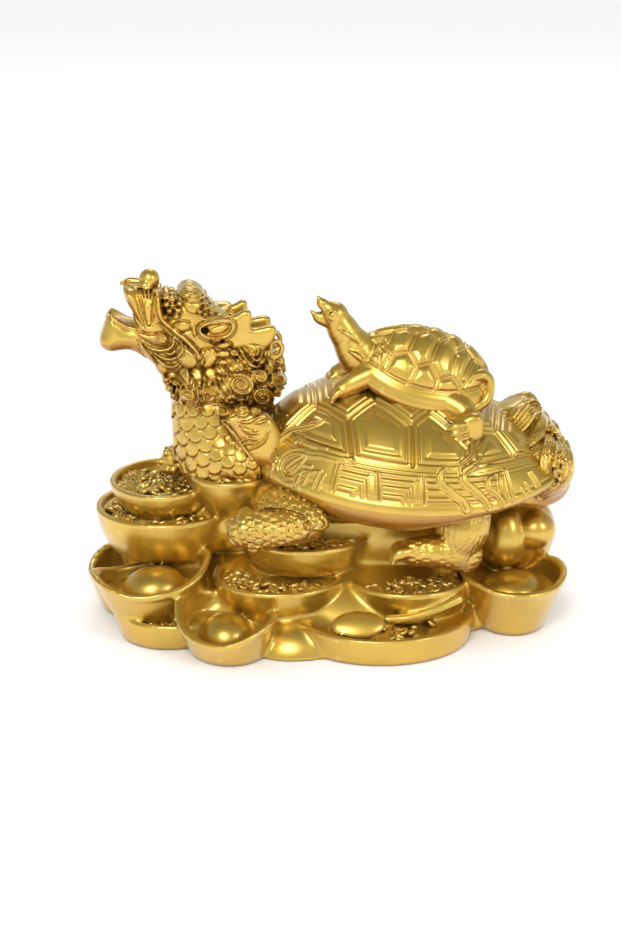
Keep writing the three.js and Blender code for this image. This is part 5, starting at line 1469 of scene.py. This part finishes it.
# Lines side by side along one line, as combed hair. They close up at both ends, as a sine
def drawHair(sheet, points, offsets, radius, high, plane):
    points = np.asarray(points, float)
    along = np.gradient(points, axis=0)
    along /= np.linalg.norm(along, axis=1)[:, None]
    across = np.column_stack([-along[:, 1], along[:, 0]])
    taper = np.sin(np.linspace(0.15, 0.9, len(points)) * math.pi)[:, None]
    radii = (0.5 * radius, radius, radius, 0.4 * radius)
    for offset in offsets:
        drawLine(sheet, points + offset * taper * across, radii, high, plane=plane, groove=0.16)


# A slab with the tail's side view, balls and lobes make the mass. Combed locks and curls lie on it
def buildTail():
    block = newBlock(tail["box"], tail["step"], reach=1.0)
    addSlab(block, tail["outline"], 4.6, thin=0.3, inward=4.6)
    addBall(block, (29.6, 0, 26.2), (7.6, 7.6, 7), 0.8)
    addBall(block, (32.4, 0, 22.6), (6.4, 9.4, 3.6), 0.8)
    for side in (-1, 1):
        addBall(block, (33.6, 6.8 * side, 25.4), (5, 4.9, 5.2), 0.8)
        addTube(block, [(x, y * side, z) for x, y, z in tail["lobe"]], [1.6, 1.5, 1.5, 1.5, 1.3, 1.0],
                fillet=0.8)
    sheet = newSheet((22, 15), (41, 40), 8)
    drawHair(sheet, *tail["topLock"])
    drawField(sheet, tail["leaf"], 0.6, edge=0.7, groove=0.35)
    for lock in tail["locks"]:
        drawHair(sheet, *lock)
    rng = np.random.default_rng(tail["seed"])
    free = freePlaces(rng, 900, (33.6, 23), (38.8, 34.6), [], None, (0.4, 0.72))
    for k, (x, z, radius) in enumerate(free):
        if 34.9 < x < 37.1 - 0.1 * abs(z - 28) and z < 33.2 - 0.9 * (x - 34.6):
            drawDome(sheet, (x, z), radius, 0.6, pitch=0.42, hand=1 if k % 2 else -1, groove=0.2)
    for x, z, radius in tail["topCurls"]:
        drawDome(sheet, (x, z), radius, 0.5, plane=5, pitch=0.42, groove=0.3)
    pressSheet(block, sheet, least=1.0)
    for y in (-2.4, 0, 2.4):
        for z in (33.4, 31.4, 29.2, 26.8, 24.2, 21.6):
            x = np.interp(z, (20, 24, 28, 31, 34), (37.6, 38, 37.3, 36, 33.8))
            addCurl(block, (x - 1.1, y + 0.4 * math.sin(z), z), 1.2, (1, 0.12 * y, 0.35),
                    hand=1 if int(z) % 2 else -1)
    castPiece("tail", block, carvedGold)


buildTail()


# The small turtle on the back. Its seams are shares of its length and width
little = {
    "box": ((-4, -15, 31), (28, 11, 55)),
    "step": 0.16,
    "middleY": -2,
    "long": 11.7,
    "wide": 7.7,
    "rise": 7.2,
    "sag": 2.6,
    "pitch": 15.0,
    "at": (14.4, -2.0, 40.8),
    "rearFoot": [(17.2, 35.9), (19.3, 36.1), (20.8, 36.8), (22.3, 36.8), (23, 36), (23.1, 33.4),
                 (22.2, 32.2), (19.6, 31.4), (18.8, 32.4), (18.6, 34.6)],
    "girdle": 0.975,
    "girdleScale": 13.0,   # millimetres that a whole share stands for near the rim
    "curledTail": [(21.8, -5.6, 40.6), (23.8, -5.4, 41), (24.9, -5.2, 40.1), (25, -5.4, 38.5),
                   (24.4, -5.8, 37), (22.8, -6.2, 36)],
    "neckFolds": [((2.6, -5.2, 45.4), (5.4, -5.6, 43.2)), ((1.2, -4.6, 48.6), (4.4, -5.2, 46.6)),
                  ((3.4, -5.4, 42.4), (6.6, -6, 42.6))],
    # how far out, as a share, and how high the smooth underside lies
    "hull": [(1.02, -0.3), (1.03, -0.9), (1.0, -1.7), (0.93, -2.4), (0.7, -3), (0.3, -3.3), (0.01, -3.4)],
    "seams": [
        [(-0.62, 0.5), (-0.51, 0.63), (-0.31, 0.63), (-0.17, 0.8), (0, 0.74), (0.16, 0.87), (0.34, 0.77),
         (0.46, 0.8)],
        [(-0.31, 0.63), (-0.22, 0.32)], [(0, 0.74), (0.09, 0.41)], [(0.34, 0.77), (0.35, 0.52)],
        [(-0.51, 0.63), (-0.58, 0.78)], [(-0.17, 0.8), (-0.24, 0.94)], [(0.16, 0.87), (0.14, 0.97)],
        [(0.46, 0.8), (0.52, 0.84)], [(-0.6, 0.43), (-0.52, 0.19)], [(0.5, 0.72), (0.62, 0.34)],
        [(0.56, 0.76), (0.7, 0.34)],
        [(-0.72, 0.1), (-0.52, 0.19), (-0.36, 0.12), (-0.22, 0.32), (-0.06, 0.16), (0.09, 0.41), (0.22, 0.2),
         (0.35, 0.45), (0.5, 0.2), (0.66, 0.34), (0.8, 0.2)],
        [(-0.36, 0.12), (-0.36, 0)], [(-0.06, 0.16), (-0.06, 0)], [(0.22, 0.2), (0.22, 0)],
        [(0.5, 0.2), (0.5, 0)],
        [(-0.83, 0.5), (-0.78, 0.46), (-0.76, 0.3), (-0.66, 0.36), (-0.54, 0.58), (-0.6, 0.76)],
        [(-0.74, 0.5), (-0.68, 0.56), (-0.66, 0.7)],
    ],
}


# Height of its shell's top over shares of length and width: rise (1 - r^2.1)^0.6 - sag v^2
def littleTop(u, v):
    r = np.minimum(np.sqrt(u * u + v * v), 1)
    return little["rise"] * (1 - r**2.1) ** 0.6 - little["sag"] * v * v


# From the level shell to its place: turned nose up about y, then moved
def littlePlaced(points):
    a = math.radians(little["pitch"])
    x, y, z = np.moveaxis(points, -1, 0)
    turned = np.stack([x * math.cos(a) + z * math.sin(a), y, z * math.cos(a) - x * math.sin(a)], -1)
    return turned + little["at"]


# Points of a line on its shell, given as shares
def littleLine(points):
    flat = broken(points, 8)
    return np.column_stack([
        flat[:, 0] * little["long"],
        flat[:, 1] * little["wide"],
        littleTop(flat[:, 0], flat[:, 1]),
    ])


# Plates of the little shell meet in a low ridge between two fine grooves
def littleSeam(d):
    return 0.26 * smoothStep(0.3, 1.3, d) - 0.26 * bump(d - 0.26, 0.13) + 0.12 * bump(d, 0.15)


# Rings from the summit to the rim, then the smooth underside, all turned nose up
def buildLittleShell():
    columns, rows = 400, 120
    angle = np.arange(columns) / columns * 2 * math.pi
    r = np.sin(np.linspace(0.004, math.pi / 2, rows))[:, None]
    u, v = r * np.cos(angle), r * np.sin(angle)
    top = np.stack([u * little["long"], v * little["wide"], littleTop(u, v)], -1)
    mirrored = np.stack([top[..., 0], np.abs(top[..., 1]), top[..., 2]], -1).reshape(-1, 3)
    d = np.min([nearestOn(mirrored, littleLine(line), 4)[0] for line in little["seams"]], axis=0)
    d = d.reshape(u.shape)
    ring = (little["girdle"] - r) * little["girdleScale"]
    d = np.minimum(d, np.maximum(ring, 0) + 0 * u)
    relief = np.where(r < little["girdle"], littleSeam(d), 0.12)
    relief = relief - 0.3 * bump(ring, 0.25)
    top = raisedGrid(top, relief, np.array([0, 0, -8]), closed=True)
    curve = smoothLine(little["hull"], 22)
    hull = np.stack([
        curve[:, :1] * little["long"] * np.cos(angle),
        curve[:, :1] * little["wide"] * np.sin(angle),
        curve[:, 1:] - little["sag"] * (np.sin(angle) * curve[:, :1]) ** 2,
    ], -1)
    points = littlePlaced(np.concatenate([top, hull]))
    faces = gridFaces(len(points), columns, closed=True)[:, ::-1]
    putPiece("littleShell", points.reshape(-1, 3), faces, shellGold)


# Points whose y is given outwards from the little turtle's middle
def onSide(points, side=1):
    return [(x, little["middleY"] + y * side, z) for x, y, z in points]


# Neck and head with an open mouth, eyes, fore and hind feet, the curled tail and the belly
def buildLittleBody():
    block = newBlock(little["box"], little["step"])
    addTube(block, onSide([(9, 0, 41), (5, 0, 43.6), (2.2, 0, 47.6), (0.8, 0, 50.4)]), [4.6, 3.6, 2.6, 1.95])
    addBall(block, onSide([(0.7, 0, 50.4)])[0], (2.1, 1.95, 1.95), 0.5)
    addTube(block, onSide([(0.4, 0, 51), (-1.2, 0, 52.2), (-1.9, 0, 53.3)]), [1.45, 0.95, 0.3])
    addTube(block, onSide([(0.6, 0, 49.4), (-1.4, 0, 49.9), (-2.8, 0, 51)]), [1.45, 1.1, 0.4])
    mouth = onSide([(-0.9, 0, 50.6), (-2.2, 0, 51.4), (-3, 0, 52.2)])
    addTube(block, mouth, [0.25, 0.5, 0.7], flat=1.5, cut=True)
    for side in (-1, 1):
        turns = np.linspace(0, 2 * math.pi, 12)
        eyeRing = [(0.2 + 0.75 * math.cos(a), 1.95, 50.9 + 0.75 * math.sin(a)) for a in turns]
        addTube(block, onSide(eyeRing, side), [0.16, 0.16], fillet=0.08, straight=True)
        addBall(block, onSide([(0.2, 1.85, 50.9)], side)[0], (0.4, 0.3, 0.4), 0.05)
        addTube(block, onSide([(6.6, 3.4, 41.6), (3.8, 4, 40.6), (1.6, 4.2, 39.4)], side), [2, 1.8, 1.5])
        for toe in (-1, 0, 1):
            foreToe = [(2.4, 4.2 + 0.9 * toe, 39.8), (0.4, 4.3 + 1.1 * toe, 38.9),
                       (-0.2, 4.3 + 1.2 * toe, 37.6)]
            addTube(block, onSide(foreToe, side), [0.55, 0.65, 0.3], fillet=0.1)
        addTube(block, onSide([(17, 4.6, 37.6), (20.4, 6.6, 36), (21, 7.6, 34.6)], side), [2.4, 2.2, 1.8])
        addSlab(block, little["rearFoot"], 1.9, y=little["middleY"] + 9.4 * side, thin=0.5, inward=1.4)
        for toe in (-1, 0, 1):
            hindToe = [(20.2, 11.2 + 0.2 * toe, 34.3 - toe), (18.4, 11.3 + 0.2 * toe, 33.9 - 1.1 * toe),
                       (17.3, 11.1 + 0.2 * toe, 33.2 - 1.15 * toe)]
            addTube(block, onSide(hindToe, side), [0.5, 0.66, 0.3], fillet=0.08)
    addTube(block, little["curledTail"], [1, 0.95, 0.9, 0.9, 0.95, 1], flat=1.3)
    addBall(block, (23.8, -4.4, 38.6), (1.6, 1.5, 2.2), 0.2)
    addBall(block, onSide([(14.4, 0, 38.6)])[0], (10.5, 6.4, 3.2), 0.5, turned=(0, 15, 0))
    for low, high in little["neckFolds"]:
        middle = np.add(low, high) / 2 + [0, -0.2, 0.3]
        addTube(block, [low, middle, high], [0.15, 0.4, 0.15], fillet=0.3)
    castPiece("littleBody", block, shellGold)


buildLittleShell()
buildLittleBody()


# The ground, three lamps and the room. Their lengths are metres
def plainFloor(side):
    sheet = bpy.data.meshes.new("floor")
    sheet.from_pydata([(-side, -side, 0), (side, -side, 0), (side, side, 0), (-side, side, 0)], [],
                      [(0, 1, 2, 3)])
    paint = bpy.data.materials.new("paleFloor")
    paint.use_nodes = True
    setSockets(paint.node_tree, paint.node_tree.nodes["Principled BSDF"], {
        "Base Color": (0.9, 0.9, 0.9, 1),
        "Roughness": 0.7,
    })
    sheet.materials.append(paint)
    return bpy.data.objects.new("floor", sheet)


floor = plainFloor(1.6)
bpy.context.scene.collection.objects.link(floor)

lamps = [
    {"name": "keyLeft", "at": (-0.14, -0.42, 0.42), "size": (0.22, 0.22), "power": 1.5},
    {"name": "sideRight", "at": (0.36, -0.36, 0.32), "size": (0.1, 0.2), "power": 0.6},
    {"name": "backTop", "at": (0.05, 0.45, 0.45), "size": (0.3, 0.12), "power": 0.5},
]
lampAim = Vector((0, 0, 0.03))
for lamp in lamps:
    light = bpy.data.lights.new(lamp["name"], "AREA")
    light.shape = "RECTANGLE"
    light.size, light.size_y = lamp["size"]
    light.energy = lamp["power"]
    holder = bpy.data.objects.new(lamp["name"], light)
    holder.location = lamp["at"]
    holder.rotation_euler = (lampAim - Vector(lamp["at"])).to_track_quat("-Z", "Y").to_euler()
    bpy.context.scene.collection.objects.link(holder)

# The room: even white light on the floor, and for reflections a pale wall that darkens overhead
room = bpy.data.worlds.new("studio")
bpy.context.scene.world = room
room.use_nodes = True
tree = room.node_tree
direction = addNode(tree, "ShaderNodeTexCoord", {})["Generated"]
wall = addNode(tree, "ShaderNodeMapRange", {
    "Value": addNode(tree, "ShaderNodeSeparateXYZ", {0: direction})["Z"],
    "From Min": 0.1,
    "From Max": 0.95,
    "To Min": 0.6,
    "To Max": 0.2,
}, interpolation_type="SMOOTHSTEP")["Result"]
glossy = addNode(tree, "ShaderNodeLightPath", {})["Is Glossy Ray"]
strength = addNode(tree, "ShaderNodeMix", {"Factor": glossy, "A": 1.08, "B": wall})["Result"]
setSockets(tree, tree.nodes["Background"], {"Strength": strength, "Color": (1, 1, 1, 1)})
bpy.context.scene.view_settings.view_transform = "Standard"

bpy.context.view_layer.update()
report("done")
